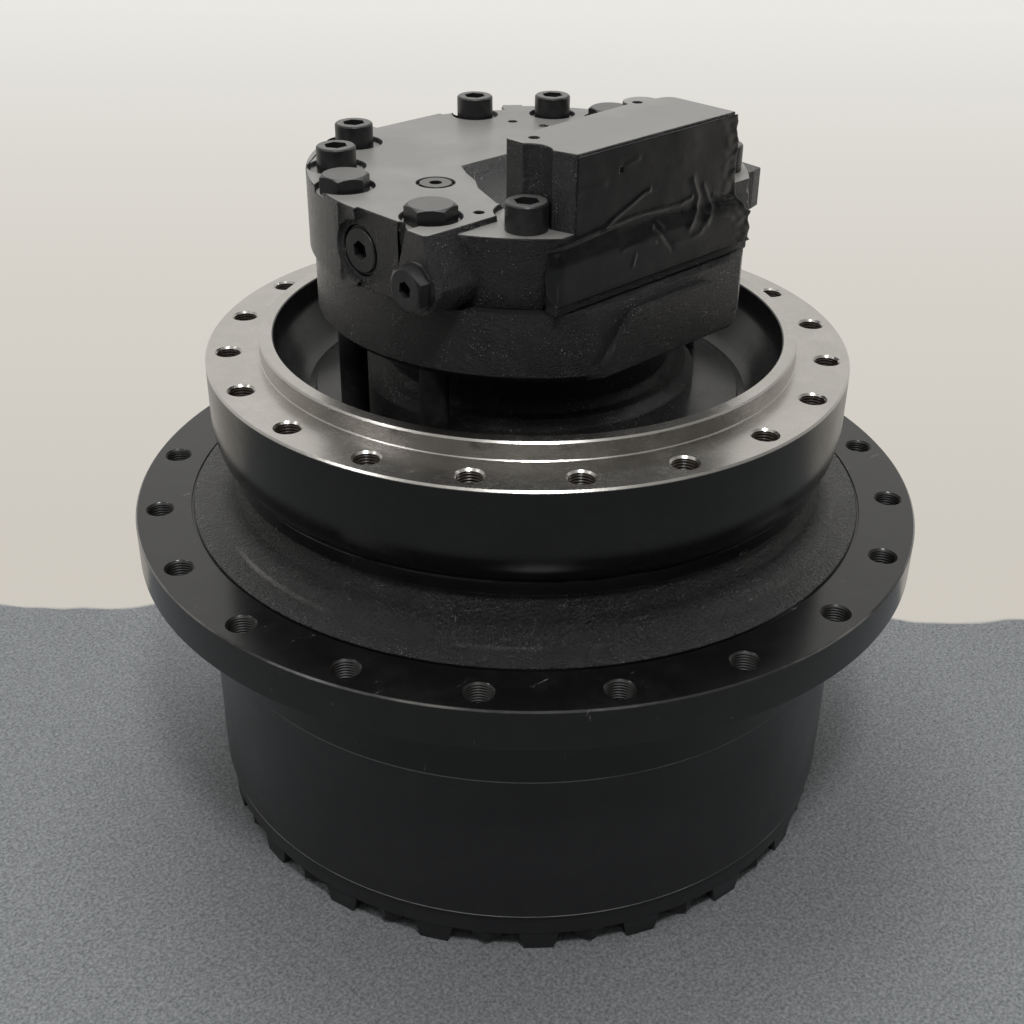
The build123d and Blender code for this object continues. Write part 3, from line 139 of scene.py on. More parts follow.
floor_height = cad_bounds[0].z
floor_radius = 7
floor_shape = bmesh.new()
bmesh.ops.create_circle(floor_shape, cap_ends=True, radius=floor_radius, segments=96,
                        matrix=Matrix.Translation((0, 0, floor_height)))
floor = finished_object("floor", floor_shape)
floor_paint = bpy.data.materials.new("floor_paint")
floor_paint.use_nodes = True
tree = floor_paint.node_tree
surface = tree.nodes["Principled BSDF"]
place = add_node(tree, "ShaderNodeTexCoord").outputs["Object"]
away = (math.cos(camera_heading), math.sin(camera_heading), 0)
leftward = (-math.sin(camera_heading), math.cos(camera_heading), 0)
behind = reach_along(tree, place, away)
waves = noise_value(tree, place, 5.0, 2.0)
edge = sums(tree, "ADD", behind, ramp(tree, waves, 0.3, 0.7, -0.02, 0.02))
beyond = ramp(tree, edge, 0.228, 0.236)
far_off = ramp(tree, behind, 0.3, 4.0)
specks = noise_value(tree, place, 330.0, 4.0, 0.75)
grey = blend_colours(tree, ramp(tree, specks, 0.35, 0.65), (0.105, 0.113, 0.12, 1), (0.27, 0.28, 0.29, 1))
rays = add_node(tree, "ShaderNodeLightPath")
seen = sums(tree, "ADD", rays.outputs["Is Camera Ray"], rays.outputs["Is Glossy Ray"],
            rays.outputs["Is Transmission Ray"])
backdrop = blend_colours(tree, far_off, (0.62, 0.585, 0.525, 1), (0.82, 0.81, 0.775, 1))
tree.links.new(blend_colours(tree, beyond, grey, (0.6, 0.58, 0.54, 1)), surface.inputs["Base Color"])
surface.inputs["Roughness"].default_value = 0.95
pale = add_node(tree, "ShaderNodeEmission", {"Color": backdrop, "Strength": 1.0})
floor_look = add_node(tree, "ShaderNodeMixShader", {0: sums(tree, "MULTIPLY", beyond, seen)})
tree.links.new(surface.outputs[0], floor_look.inputs[1])
tree.links.new(pale.outputs[0], floor_look.inputs[2])
tree.links.new(floor_look.outputs[0], tree.nodes["Material Output"].inputs["Surface"])
floor.data.materials.append(floor_paint)

room = bpy.data.worlds.new("room")
bpy.context.scene.world = room
room.use_nodes = True
tree = room.node_tree
background = tree.nodes["Background"]
way = add_node(tree, "ShaderNodeTexCoord").outputs["Generated"]
far_wall = ramp(tree, reach_along(tree, way, away), 0.0, 0.7, 0.02, 0.74)
left_wall = ramp(tree, reach_along(tree, way, leftward), 0.0, 0.9, 0.0, 0.16)
ceiling = ramp(tree, reach_along(tree, way, (0, 0, 1)), 0.35, 0.9, 0.0, 0.5)
tree.links.new(sums(tree, "ADD", far_wall, left_wall, ceiling), background.inputs["Strength"])
background.inputs["Color"].default_value = (1, 0.985, 0.95, 1)

# Each lamp: name, size in metres, watts, distance in metres, heading and height in degrees
lamps = [
    ("ceiling_lamp", 1.6, 34, 2.6, 60, 74),
    ("left_lamp", 0.45, 6, 2.6, 160, 40),
    ("right_lamp", 0.5, 5, 2.8, -25, 42),
    ("front_lamp", 0.35, 26, 2.6, -128, 58),
]
for lamp_name, lamp_size, watts, distance, heading, height in lamps:
    lamp_data = bpy.data.lights.new(lamp_name, "AREA")
    lamp_data.shape = "SQUARE"
    lamp_data.size = lamp_size
    lamp_data.energy = watts
    lamp = bpy.data.objects.new(lamp_name, lamp_data)
    aim = Vector((math.cos(math.radians(height)) * math.cos(math.radians(heading)),
                  math.cos(math.radians(height)) * math.sin(math.radians(heading)),
                  math.sin(math.radians(height))))
    lamp.location = aim * distance
    lamp.rotation_euler = aim.to_track_quat("Z", "Y").to_euler()
    bpy.context.scene.collection.objects.link(lamp)


# Spindle
# The fixed casting that bolts to the track frame: its frame face and spigot are turned bright,
# and the rest, with the bowl for the motor, is sprayed black. Twenty tapped holes stand in the face.
def effect_group(name, inputs, outputs):
    """Starts a node group with float or vector inputs and float outputs."""
    group = bpy.data.node_groups.new(name, "ShaderNodeTree")
    for socket_name, kind, value in inputs:
        socket = group.interface.new_socket(socket_name, in_out="INPUT", socket_type=kind)
        if value is not None:
            socket.default_value = value
    for socket_name in outputs:
        group.interface.new_socket(socket_name, in_out="OUTPUT", socket_type="NodeSocketFloat")
    start = group.nodes.new("NodeGroupInput")
    end = group.nodes.new("NodeGroupOutput")
    return group, start, end


def axis_distance(tree, vector):
    """Distance from the main axis, and height along it."""
    flat = add_node(tree, "ShaderNodeVectorMath", {0: vector, 1: (1, 1, 0)}, operation="MULTIPLY")
    reach = add_node(tree, "ShaderNodeVectorMath", {0: flat.outputs["Vector"]}, operation="LENGTH")
    return reach.outputs["Value"], add_node(tree, "ShaderNodeSeparateXYZ", {0: vector}).outputs["Z"]


def band(tree, value, begins, full, still_full, ends):
    """1 within a band of a value and 0 outside it, with two soft ends."""
    fading = ramp(tree, value, still_full, ends, 1.0, 0.0)
    return sums(tree, "MULTIPLY", ramp(tree, value, begins, full), fading)


# Fine orange peel of sprayed paint
spray_peel, start, end = effect_group(
    "spray_peel", [("Vector", "NodeSocketVector", None), ("Scale", "NodeSocketFloat", 900.0)],
    ["Height", "Shine"])
peel = noise_value(spray_peel, start.outputs["Vector"], start.outputs["Scale"], 2.0)
patches = noise_value(spray_peel, start.outputs["Vector"], 14.0, 5.0, 0.65)
spray_peel.links.new(peel, end.inputs["Height"])
spray_peel.links.new(patches, end.inputs["Shine"])

# Sand-cast skin: soft lumps and small pits, and pale spots on a few proud grains that are painted glints, a
# painted highlight
cast_skin, start, end = effect_group(
    "cast_skin", [("Vector", "NodeSocketVector", None), ("Lumps", "NodeSocketFloat", 260.0),
                  ("Grains", "NodeSocketFloat", 620.0)], ["Height", "Painted_Glints"])
lumps = noise_value(cast_skin, start.outputs["Vector"], start.outputs["Lumps"], 6.0, 0.62)
grains = add_node(cast_skin, "ShaderNodeTexVoronoi", {"Vector": start.outputs["Vector"],
                                                      "Scale": start.outputs["Grains"]})
grain_rise = ramp(cast_skin, grains.outputs["Distance"], 0.0, 0.45, 1.0, 0.0)
cast_height = sums(cast_skin, "MULTIPLY", grain_rise, 0.34)
cast_skin.links.new(sums(cast_skin, "ADD", lumps, cast_height), end.inputs["Height"])
# Pale spots for the painted glints: painted highlights, not a colour of the casting
spots = add_node(cast_skin, "ShaderNodeTexVoronoi", {"Vector": start.outputs["Vector"], "Scale": 420.0})
spot_mask = ramp(cast_skin, spots.outputs["Distance"], 0.1, 0.21, 1.0, 0.0)
spot_choice = ramp(cast_skin, noise_value(cast_skin, start.outputs["Vector"], 42.0, 4.0, 0.7), 0.5, 0.62)
cast_skin.links.new(sums(cast_skin, "MULTIPLY", spot_mask, spot_choice), end.inputs["Painted_Glints"])

# Dust, smears and rubbed places left by handling
handling, start, end = effect_group(
    "handling", [("Vector", "NodeSocketVector", None), ("Amount", "NodeSocketFloat", 1.0)],
    ["Dust", "Smears"])
dust = noise_value(handling, start.outputs["Vector"], 38.0, 8.0, 0.72)
stretched = add_node(handling, "ShaderNodeMapping", {"Vector": start.outputs["Vector"], "Scale": (7, 7, 40)})
smears = noise_value(handling, stretched.outputs["Vector"], 1.0, 6.0, 0.6)
for kind, pattern, low, high in (("Dust", dust, 0.48, 0.78), ("Smears", smears, 0.42, 0.7)):
    mask = sums(handling, "MULTIPLY", ramp(handling, pattern, low, high), start.outputs["Amount"])
    handling.links.new(mask, end.inputs[kind])

# Turning marks: fine rings about the axis, with streaks that change slowly round the face
turned_face, start, end = effect_group(
    "turned_face", [("Vector", "NodeSocketVector", None), ("Pitch", "NodeSocketFloat", 0.0009)],
    ["Height", "Tone"])
reach, depth = axis_distance(turned_face, start.outputs["Vector"])
along = sums(turned_face, "ADD", reach, depth)
rings = sums(turned_face, "DIVIDE", along, start.outputs["Pitch"])
ring_wave = sums(turned_face, "SINE", sums(turned_face, "MULTIPLY", rings, math.tau))
uneven = add_node(turned_face, "ShaderNodeTexNoise", {"W": sums(turned_face, "MULTIPLY", along, 2600.0),
                                                      "Scale": 1.0, "Detail": 3.0}, noise_dimensions="1D")
turned_face.links.new(sums(turned_face, "ADD", sums(turned_face, "MULTIPLY", ring_wave, 0.25),
                           uneven.outputs["Fac"]), end.inputs["Height"])
cloud = noise_value(turned_face, start.outputs["Vector"], 16.0, 7.0, 0.7)
turned_face.links.new(sums(turned_face, "ADD", sums(turned_face, "MULTIPLY", uneven.outputs["Fac"], 0.45),
                           sums(turned_face, "MULTIPLY", cloud, 0.55)), end.inputs["Tone"])


def placed_group(tree, group, vector, **values):
    """Places an effect group in a material."""
    made = add_node(tree, "ShaderNodeGroup", node_tree=group)
    tree.links.new(vector, made.inputs["Vector"])
    for name, value in values.items():
        made.inputs[name].default_value = value
    return made.outputs


def new_finish(name):
    """Starts a material and gives its node tree, its surface and the object's coordinates."""
    material = bpy.data.materials.new(name)
    material.use_nodes = True
    tree = material.node_tree
    vector = add_node(tree, "ShaderNodeTexCoord").outputs["Object"]
    return material, tree, tree.nodes["Principled BSDF"], vector


def set_surface(tree, surface, **values):
    """Sets or links the surface's sockets, named with underscores for spaces."""
    for name, value in values.items():
        set_input(tree, surface.inputs[name.replace("_", " ")], value)


def bumped(tree, height, depth, strength=1.0, under=None):
    """Bump of a height socket, its full height given in metres."""
    made = add_node(tree, "ShaderNodeBump", {"Height": height, "Distance": depth, "Strength": strength})
    if under is not None:
        tree.links.new(under, made.inputs["Normal"])
    return made.outputs["Normal"]


# Corners closer than this, in metres, are one
same_place = 1e-6


def spun(profile, steps=192):
    """A closed outline of (radius, height) points turned about the main axis."""
    shape = bmesh.new()
    corners = [shape.verts.new((radius, 0, height)) for radius, height in profile]
    sides = [shape.edges.new((corners[i - 1], corners[i])) for i in range(len(corners))]
    bmesh.ops.spin(shape, geom=corners + sides, cent=(0, 0, 0), axis=(0, 0, 1), angle=math.tau,
                   steps=steps, use_merge=True)
    bmesh.ops.remove_doubles(shape, verts=shape.verts, dist=same_place)
    bmesh.ops.recalc_face_normals(shape, faces=shape.faces)
    return shape


def arc_points(centre, radius, first, last, count=6):
    """Points on a rounded corner of an outline, from one angle to another in degrees."""
    points = []
    for index in range(count + 1):
        angle = math.radians(first + (last - first) * index / count)
        points.append((centre[0] + radius * math.cos(angle), centre[1] + radius * math.sin(angle)))
    return points


def shaded_smooth(piece, angle=28):
    """Shades a piece smooth, with sharp edges from an angle on."""
    piece.data.shade_smooth()
    piece.data.set_sharp_from_angle(angle=math.radians(angle))


def rounded_edges(piece, width, angle=30, clamp=True):
    """Rounds a piece's sharp edges and shades the rest smooth."""
    shaded_smooth(piece, angle)
    edges = piece.modifiers.new("edges", "BEVEL")
    edges.width = width
    edges.segments = 2
    edges.limit_method = "ANGLE"
    edges.angle_limit = math.radians(angle)
    edges.harden_normals = True
    edges.use_clamp_overlap = clamp


def dressed(name, node, body, material, edge):
    """A merged copy of a CAD node with its edges rounded, in place of the node."""
    shape = bmesh.new()
    shape.from_mesh(frame["nodes"][node].data)
    bmesh.ops.remove_doubles(shape, verts=shape.verts, dist=same_place)
    bmesh.ops.dissolve_limit(shape, angle_limit=math.radians(0.4), verts=shape.verts, edges=shape.edges)
    piece = finished_object(name, shape, body)
    piece.data.materials.append(material)
    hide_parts(node)
    if edge:
        rounded_edges(piece, edge)
    return piece


def tapped_hole_cutter(circle_radius, count, first_angle, top, radius, mouth, length, pitch=0.0025):
    """Cutters for a circle of tapped holes, each with a chamfered mouth and thread grooves."""
    groove = radius + 0.0012
    outline = [(0, 0.004), (mouth + 0.004, 0.004), (radius, radius - mouth)]
    depth = radius - mouth
    while depth > -length + pitch:
        outline += [(radius, depth), (groove, depth - pitch * 0.45), (groove, depth - pitch * 0.55),
                    (radius, depth - pitch * 0.95)]
        depth -= pitch
    outline += [(radius, -length), (0, -length - radius / 2)]
    shape = bmesh.new()
    corners = [shape.verts.new((r, 0, z)) for r, z in outline]
    sides = [shape.edges.new((corners[i], corners[i + 1])) for i in range(len(corners) - 1)]
    bmesh.ops.spin(shape, geom=corners + sides, cent=(0, 0, 0), axis=(0, 0, 1), angle=math.tau,
                   steps=36, use_merge=True)
    bmesh.ops.remove_doubles(shape, verts=shape.verts, dist=same_place)
    hole = bpy.data.meshes.new("hole")
    bmesh.ops.recalc_face_normals(shape, faces=shape.faces)
    shape.to_mesh(hole)
    shape.clear()
    for index in range(count):
        angle = math.radians(first_angle + 360 * index / count)
        start = len(shape.verts)
        shape.from_mesh(hole)
        shape.verts.ensure_lookup_table()
        place = Matrix.Translation((circle_radius * math.cos(angle), circle_radius * math.sin(angle), top))
        bmesh.ops.transform(shape, matrix=place, verts=shape.verts[start:])
    bpy.data.meshes.remove(hole)
    return finished_object("cutter", shape)


def cut_away(piece, cutter, operation="DIFFERENCE"):
    """Cuts or joins one piece with another, which is then removed."""
    cut = piece.modifiers.new("cut", "BOOLEAN")
    cut.operation = operation
    cut.solver = "EXACT"
    cut.object = cutter
    bpy.context.view_layer.update()
    shaped = bpy.data.meshes.new_from_object(piece.evaluated_get(bpy.context.evaluated_depsgraph_get()))
    piece.modifiers.clear()
    tidy = bmesh.new()
    tidy.from_mesh(shaped)
    bmesh.ops.remove_doubles(tidy, verts=tidy.verts, dist=2e-5)
    bmesh.ops.dissolve_degenerate(tidy, edges=tidy.edges, dist=1e-5)
    bmesh.ops.dissolve_limit(tidy, angle_limit=math.radians(0.3), verts=tidy.verts, edges=tidy.edges)
    tidy.to_mesh(shaped)
    tidy.free()
    piece.data = shaped
    bpy.data.objects.remove(cutter)


bright = (0.56, 0.54, 0.51, 1)
black = (0.0042, 0.0042, 0.0046, 1)
dust_grey = (0.12, 0.117, 0.11, 1)
thread_brown = (0.035, 0.024, 0.017, 1)
frame_face, tree, surface, vector = new_finish("frame_face_and_black")
reach, height = axis_distance(tree, vector)
above = ramp(tree, height, -0.0022, -0.0016)
outside = ramp(tree, reach, 0.2262, 0.2266)
machined = sums(tree, "MULTIPLY", above, outside)
turned = placed_group(tree, turned_face, vector, Pitch=0.0011)
peel = placed_group(tree, spray_peel, vector, Scale=700.0)
marks = placed_group(tree, handling, vector, Amount=1.0)
bright_tone = blend_colours(tree, ramp(tree, turned["Tone"], 0.35, 0.65), (0.44, 0.425, 0.4, 1), bright)
black_tone = blend_colours(tree, sums(tree, "MULTIPLY", marks["Dust"], 0.04), black, dust_grey)
threads = sums(tree, "MULTIPLY", band(tree, reach, 0.2534, 0.2538, 0.2768, 0.2772),
               band(tree, height, -0.0385, -0.0380, -0.0030, -0.0022))
side_tone = blend_colours(tree, threads, black_tone, thread_brown)
set_surface(
    tree, surface,
    Base_Color=blend_colours(tree, machined, side_tone, bright_tone),
    Metallic=machined,
    Roughness=sums(tree, "ADD", ramp(tree, turned["Tone"], 0.3, 0.7, 0.16, 0.26),
                   ramp(tree, peel["Shine"], 0.3, 0.7, 0.0, 0.08)),
    Normal=bumped(tree, turned["Height"], 0.00002, 0.5,
                  under=bumped(tree, peel["Height"], 0.0001, 0.25)),
)

frame_radius, frame_side, foot_radius, foot_depth = 0.285, 0.040, 0.271, 0.086
spigot_radius, spigot_bore, spigot_height = 0.238, 0.2255, 0.016
floor_depth, floor_edge, groove_edge, groove_depth = 0.036, 0.190, 0.197, 0.039
spindle_outline = (
    [(spigot_bore, spigot_height - 0.0012), (spigot_bore + 0.0012, spigot_height)]
    + [(spigot_radius - 0.0015, spigot_height), (spigot_radius, spigot_height - 0.0015)]
    + [(spigot_radius, 0.0008), (spigot_radius + 0.0008, 0)]
    + [(frame_radius - 0.0015, 0), (frame_radius, -0.0015), (frame_radius, -frame_side)]
    + [(0.2848, -0.050), (0.2838, -0.060), (0.2820, -0.069), (0.2790, -0.077), (0.2752, -0.083)]
    + [(foot_radius, -foot_depth), (0.252, -foot_depth), (0.252, -0.072), (0.226, -0.072)]
    + [(0.226, -0.112), (0.195, -0.112), (0.195, -0.236), (0.188, -0.236), (0.188, -0.250)]
    + [(0.090, -0.250), (0.090, -0.061), (0.12205, -0.061), (0.12205, -floor_depth)]
    + [(floor_edge, -floor_depth), (floor_edge + 0.001, -groove_depth), (groove_edge, -groove_depth)]
    + [(0.2012, -0.0362), (0.2058, -0.0318), (0.2115, -0.0245), (0.2172, -0.0165), (0.2222, -0.009)]
    + [(spigot_bore, -0.002)]
)
spindle = finished_object("spindle_casting", spun(spindle_outline), "frame_side")
cut_away(spindle, tapped_hole_cutter(circle_radius=0.265, count=20, first_angle=0, top=0, radius=0.0103,
                                     mouth=0.012, length=0.030))
spindle.data.materials.append(frame_face)
shaded_smooth(spindle)
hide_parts("spindle")


# Hub
# The turning casting that carries the sprocket: turned lip and flange, sand-cast neck between them,
# all under the same black paint. The flange has twenty tapped holes for the sprocket's screws.
hub_finish, tree, surface, vector = new_finish("hub_black")
reach, height = axis_distance(tree, vector)
cast_area = sums(tree, "MULTIPLY", band(tree, height, -0.1425, -0.1415, -0.0998, -0.0992),
                 ramp(tree, reach, 0.3085, 0.3095, 1.0, 0.0))
cast = placed_group(tree, cast_skin, vector, Lumps=330.0, Grains=620.0)
peel = placed_group(tree, spray_peel, vector, Scale=800.0)
marks = placed_group(tree, handling, vector, Amount=1.0)
cast_tone = blend_colours(tree, cast_area, black, (0.021, 0.021, 0.0215, 1))
paint_tone = blend_colours(tree, sums(tree, "MULTIPLY", marks["Dust"], 0.05), cast_tone, dust_grey)
# Pale spots on the cast neck are painted glints, a painted highlight; the slanted scratches are real wear
painted_glints = sums(tree, "MULTIPLY", cast["Painted_Glints"], sums(tree, "MULTIPLY", cast_area, 0.75))
broken = ramp(tree, marks["Smears"], 0.2, 0.9, 0.0, 0.3)
foot_worn = sums(tree, "MULTIPLY", band(tree, reach, 0.2832, 0.2845, 0.2862, 0.2885), cast_area, broken)
edge_line = sums(tree, "MULTIPLY", ramp(tree, reach, 0.3588, 0.3594), ramp(tree, height, -0.1438, -0.1430))
edge_worn = sums(tree, "MULTIPLY", edge_line, ramp(tree, marks["Smears"], 0.1, 0.8, 0.05, 0.6))
lip_line = sums(tree, "MULTIPLY", ramp(tree, reach, 0.2698, 0.2702), ramp(tree, height, -0.0886, -0.0880))
lip_worn = sums(tree, "MULTIPLY", lip_line, broken)
worn = sums(tree, "MAXIMUM", foot_worn, edge_worn, lip_worn)
threads = sums(tree, "MULTIPLY", band(tree, reach, 0.3262, 0.3266, 0.3508, 0.3512),
               band(tree, height, -0.1790, -0.1785, -0.1426, -0.1423))
slanted = add_node(tree, "ShaderNodeMapping", {"Vector": vector, "Scale": (30, 190, 30),
                                               "Rotation": (0, 0, 0.6)})
scratches = noise_value(tree, slanted.outputs["Vector"], 1.0, 4.0, 0.7)
scratch = sums(tree, "MULTIPLY", ramp(tree, scratches, 0.655, 0.68), ramp(tree, marks["Dust"], 0.1, 0.5))
painted_glints_and_scratches = sums(tree, "MAXIMUM", painted_glints, sums(tree, "MULTIPLY", scratch, 0.35))
cast_bump = bumped(tree, sums(tree, "MULTIPLY", cast["Height"], cast_area), 0.0030, 1.0)
paint_scratches_and_glints = blend_colours(tree, painted_glints_and_scratches, paint_tone, (0.4, 0.39, 0.37, 1))
set_surface(
    tree, surface,
    Base_Color=blend_colours(tree, worn, blend_colours(tree, threads, paint_scratches_and_glints, (0.008, 0.007, 0.006, 1)),
                             (0.42, 0.41, 0.39, 1)),
    Metallic=sums(tree, "MULTIPLY", worn, 0.8),
    Roughness=sums(tree, "ADD", ramp(tree, peel["Shine"], 0.3, 0.7, 0.16, 0.25),
                   sums(tree, "MULTIPLY", cast_area, 0.06), sums(tree, "MULTIPLY", threads, 0.3)),
    Normal=bumped(tree, peel["Height"], 0.0001, 0.2, under=cast_bump),
)
lip_radius, lip_top, lip_bottom = 0.271, -0.087, -0.0995
sprocket_top, sprocket_bottom, sprocket_radius = -0.142, -0.180, 0.3605
hub_outline = (
    [(0.256, lip_top), (lip_radius - 0.001, lip_top), (lip_radius, lip_top - 0.001)]
    + [(lip_radius, lip_bottom), (0.2682, lip_bottom - 0.0004), (0.2685, -0.109), (0.272, -0.1185)]
    + arc_points((0.2905, -0.1215), 0.0185, 180, 265, 7)
    + [(0.3078, -0.1404), (0.3088, -0.1412), (0.3092, -0.1434), (0.3104, -0.1434), (0.3108, sprocket_top)]
    + [(sprocket_radius - 0.0015, sprocket_top)]
    + [(sprocket_radius, sprocket_top - 0.0015), (sprocket_radius, sprocket_bottom + 0.0015)]
    + [(sprocket_radius - 0.0015, sprocket_bottom), (0.3045, sprocket_bottom), (0.303, -0.1815)]
    + [(0.303, -0.2584), (0.3024, -0.259), (0.268, -0.259), (0.268, -0.264), (0.256, -0.264)]
    + [(0.256, -0.188), (0.242, -0.188), (0.242, -0.158), (0.256, -0.158)]
)
hub = finished_object("hub_casting", spun(hub_outline), "hub")
cut_away(hub, tapped_hole_cutter(circle_radius=0.3387, count=20, first_angle=3.5, top=sprocket_top,
                                 radius=0.011, mouth=0.0128, length=0.044))
hub.data.materials.append(hub_finish)
shaded_smooth(hub)
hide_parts("hub")


# Ring gear and cover
# The ring gear is a smooth turned ring between hub and cover. The cover's rim is castellated:
# a lug stands between each pair of bolts, and the drive rests on the lugs' feet.
ring_finish, tree, surface, vector = new_finish("ring_black")
height = add_node(tree, "ShaderNodeSeparateXYZ", {0: vector}).outputs["Z"]
peel = placed_group(tree, spray_peel, vector, Scale=620.0)
marks = placed_group(tree, handling, vector, Amount=1.0)
top_line = ramp(tree, height, -0.2603, -0.2597)
low_line = band(tree, height, -0.4106, -0.4102, -0.4094, -0.4088)
worn = sums(tree, "MULTIPLY", sums(tree, "ADD", top_line, low_line),
            ramp(tree, marks["Smears"], 0.0, 0.4, 0.25, 0.9))
tone = blend_colours(tree, sums(tree, "MULTIPLY", marks["Dust"], 0.08), (0.017, 0.017, 0.0188, 1), dust_grey)
set_surface(
    tree, surface,
    Base_Color=blend_colours(tree, worn, tone, (0.38, 0.38, 0.37, 1)),
    Roughness=ramp(tree, peel["Shine"], 0.3, 0.7, 0.3, 0.4),
    Normal=bumped(tree, peel["Height"], 0.0001, 0.25),
)
ring = dressed("ring_gear_black", "ring_gear", "hub", ring_finish, 0)
shaded_smooth(ring)
dressed("hub_cover_black", "hub_cover", "hub", ring_finish, 0.0008)


# Motor casting
# Case and cover are sand castings with machined joints and a milled top, sprayed black as one.
def level_faces(tree, on_top=1.0):
    """Finds the faces that look straight up: its value there, and 0 on all others."""
    normal = add_node(tree, "ShaderNodeNewGeometry").outputs["Normal"]
    rise = add_node(tree, "ShaderNodeSeparateXYZ", {0: normal}).outputs["Z"]
    return ramp(tree, rise, 0.93, 0.97, 0.0, on_top)


cast_black, tree, surface, vector = new_finish("motor_cast_black")
cast = placed_group(tree, cast_skin, vector, Lumps=480.0, Grains=800.0)
peel = placed_group(tree, spray_peel, vector, Scale=800.0)
marks = placed_group(tree, handling, vector, Amount=1.0)
height = add_node(tree, "ShaderNodeSeparateXYZ", {0: vector}).outputs["Z"]
# Faces that look straight up on the top of the cover and block are coloured a lighter grey than the black
# casting, and are rougher
level_top = sums(tree, "MULTIPLY", level_faces(tree), ramp(tree, height, 0.1535, 0.1545))
rough_area = sums(tree, "SUBTRACT", 1.0, level_top)
tone = blend_colours(tree, sums(tree, "MULTIPLY", marks["Dust"], 0.08), (0.0145, 0.0145, 0.015, 1), dust_grey)
level_top_tone = blend_colours(tree, marks["Smears"], (0.16, 0.157, 0.15, 1), (0.22, 0.216, 0.207, 1))
# Pale spots on the rough cast areas are painted glints, a painted highlight
painted_glints = sums(tree, "MULTIPLY", cast["Painted_Glints"], sums(tree, "MULTIPLY", rough_area, 0.6))
black_or_level_top = blend_colours(tree, level_top, tone, level_top_tone)
set_surface(
    tree, surface,
    Base_Color=blend_colours(tree, painted_glints, black_or_level_top, (0.5, 0.5, 0.48, 1)),
    Roughness=sums(tree, "ADD", ramp(tree, peel["Shine"], 0.3, 0.7, 0.16, 0.24),
                   sums(tree, "MULTIPLY", level_top, 0.16)),
    Normal=bumped(tree, peel["Height"], 0.0001, 0.2,
                  under=bumped(tree, sums(tree, "MULTIPLY", cast["Height"], rough_area), 0.0019, 1.0)),
)


def close_loops(shape, loops):
    """Joins loops of corners, one after another, into a closed solid."""
    for low, high in zip(loops, loops[1:]):
        for index in range(len(low)):
            shape.faces.new((low[index - 1], low[index], high[index], high[index - 1]))
    shape.faces.new(loops[0])
    shape.faces.new(loops[-1])


def solid_tool(*solids):
    """A cutting or joining piece of solids, each a list of (level, outline) in millimetres and an axis."""
    shape = bmesh.new()
    for layers, axis in solids:
        loops = []
        for level, outline in layers:
            corners = [{"X": (level, a, b), "Y": (a, level, b), "Z": (a, b, level)}[axis] for a, b in outline]
            loops.append([shape.verts.new(Vector(corner) / 1000) for corner in corners])
        close_loops(shape, loops)
    bmesh.ops.recalc_face_normals(shape, faces=shape.faces)
    return finished_object("cutter", shape)


def plain(outline, low, high, axis="Z"):
    """A straight solid of one outline between two levels."""
    return [(low, outline), (high, outline)], axis


def circle(centre, radius, count=48):
    """Outline of a whole circle."""
    return arc_points(centre, radius, 0, 360 - 360 / count, count - 1)


def disc(first, second, radius, low, high):
    """A round solid between two levels."""
    return plain(circle((first, second), radius), low, high)


def inset(outline, amount):
    """Moves the sides of a clockwise outline inwards."""
    moved = []
    for index, corner in enumerate(outline):
        ahead = Vector(outline[(index + 1) % len(outline)]) - Vector(corner)
        back = Vector(corner) - Vector(outline[index - 1])
        normals = [Vector((side.y, -side.x)).normalized() for side in (back, ahead)]
        moved.append(Vector(corner) + (normals[0] + normals[1]) * amount / (1 + normals[0].dot(normals[1])))
    return [tuple(corner) for corner in moved]


# The case's front is one plane with a raised panel, a lip below it and a bevelled lower edge
def case_front(radius, flat):
    """Outline of the case's front at one height: the round case with its front plane."""
    corner = math.sqrt(radius ** 2 - flat ** 2)
    side = [(x, -math.sqrt(radius ** 2 - x ** 2)) for x in (90.5, 86)]
    return ([(-91, -150)] + [(-x, y) for x, y in side] + [(-corner, -flat), (corner, -flat)]
            + side[::-1] + [(91, -150)])


case = dressed("motor_case_cast", "motor_case", "frame_side", cast_black, 0)
cut_away(case, solid_tool(plain([(-110, -220), (110, -220), (110, -159.95), (-110, -159.95)], 37, 97)))
cut_away(case, solid_tool(([(38, case_front(181, 163)), (41, case_front(183.9, 166)),
                            (50.5, case_front(183.9, 166))], "Z")), "UNION")
cut_away(case, solid_tool(plain([(-80, 50.4), (-48, 87), (48, 87), (80, 50.4)], -166, -150, "Y")), "UNION")
rounded_edges(case, 0.0018)

# The cover's top has a recess behind the block, and its rim is cut back at the rear right
recess = [(-98, -62), (-82, -24), (-70, -8), (-61, 13), (-51, 30), (62, 30), (74, -8), (84, -62),
          (84, -95), (-98, -95)]
rim_notch = [(50, 166.2)] + arc_points((0, 0), 173.5, 73.2, 53.5) + [(125, 169), (50, 205)]
ear_space = arc_points((0, 0), 188.2, 194, 213.5) + [(-200, -104), (-200, -46)]
far_ear_space = arc_points((0, 0), 188.2, -20, -38) + [(200, -116), (200, -64)]
shoulder_end = [(110, -156), (126, -156), (126, -134.5), (118, -141.6), (110, -147.9)]
cover = dressed("motor_cover_cast", "motor_cover", "frame_side", cast_black, 0)
cut_away(cover, solid_tool(
    ([(148, inset(recess, 10.07)), (161, inset(recess, -0.84))], "Z"),
    plain(rim_notch, 95.5, 161.5), plain(ear_space, 96.5, 162), plain(far_ear_space, 96.5, 162),
    plain(shoulder_end, 96.5, 145), plain([(74, -90), (74, -70), (90, -70), (90, -90)], 161.2, 216),
))

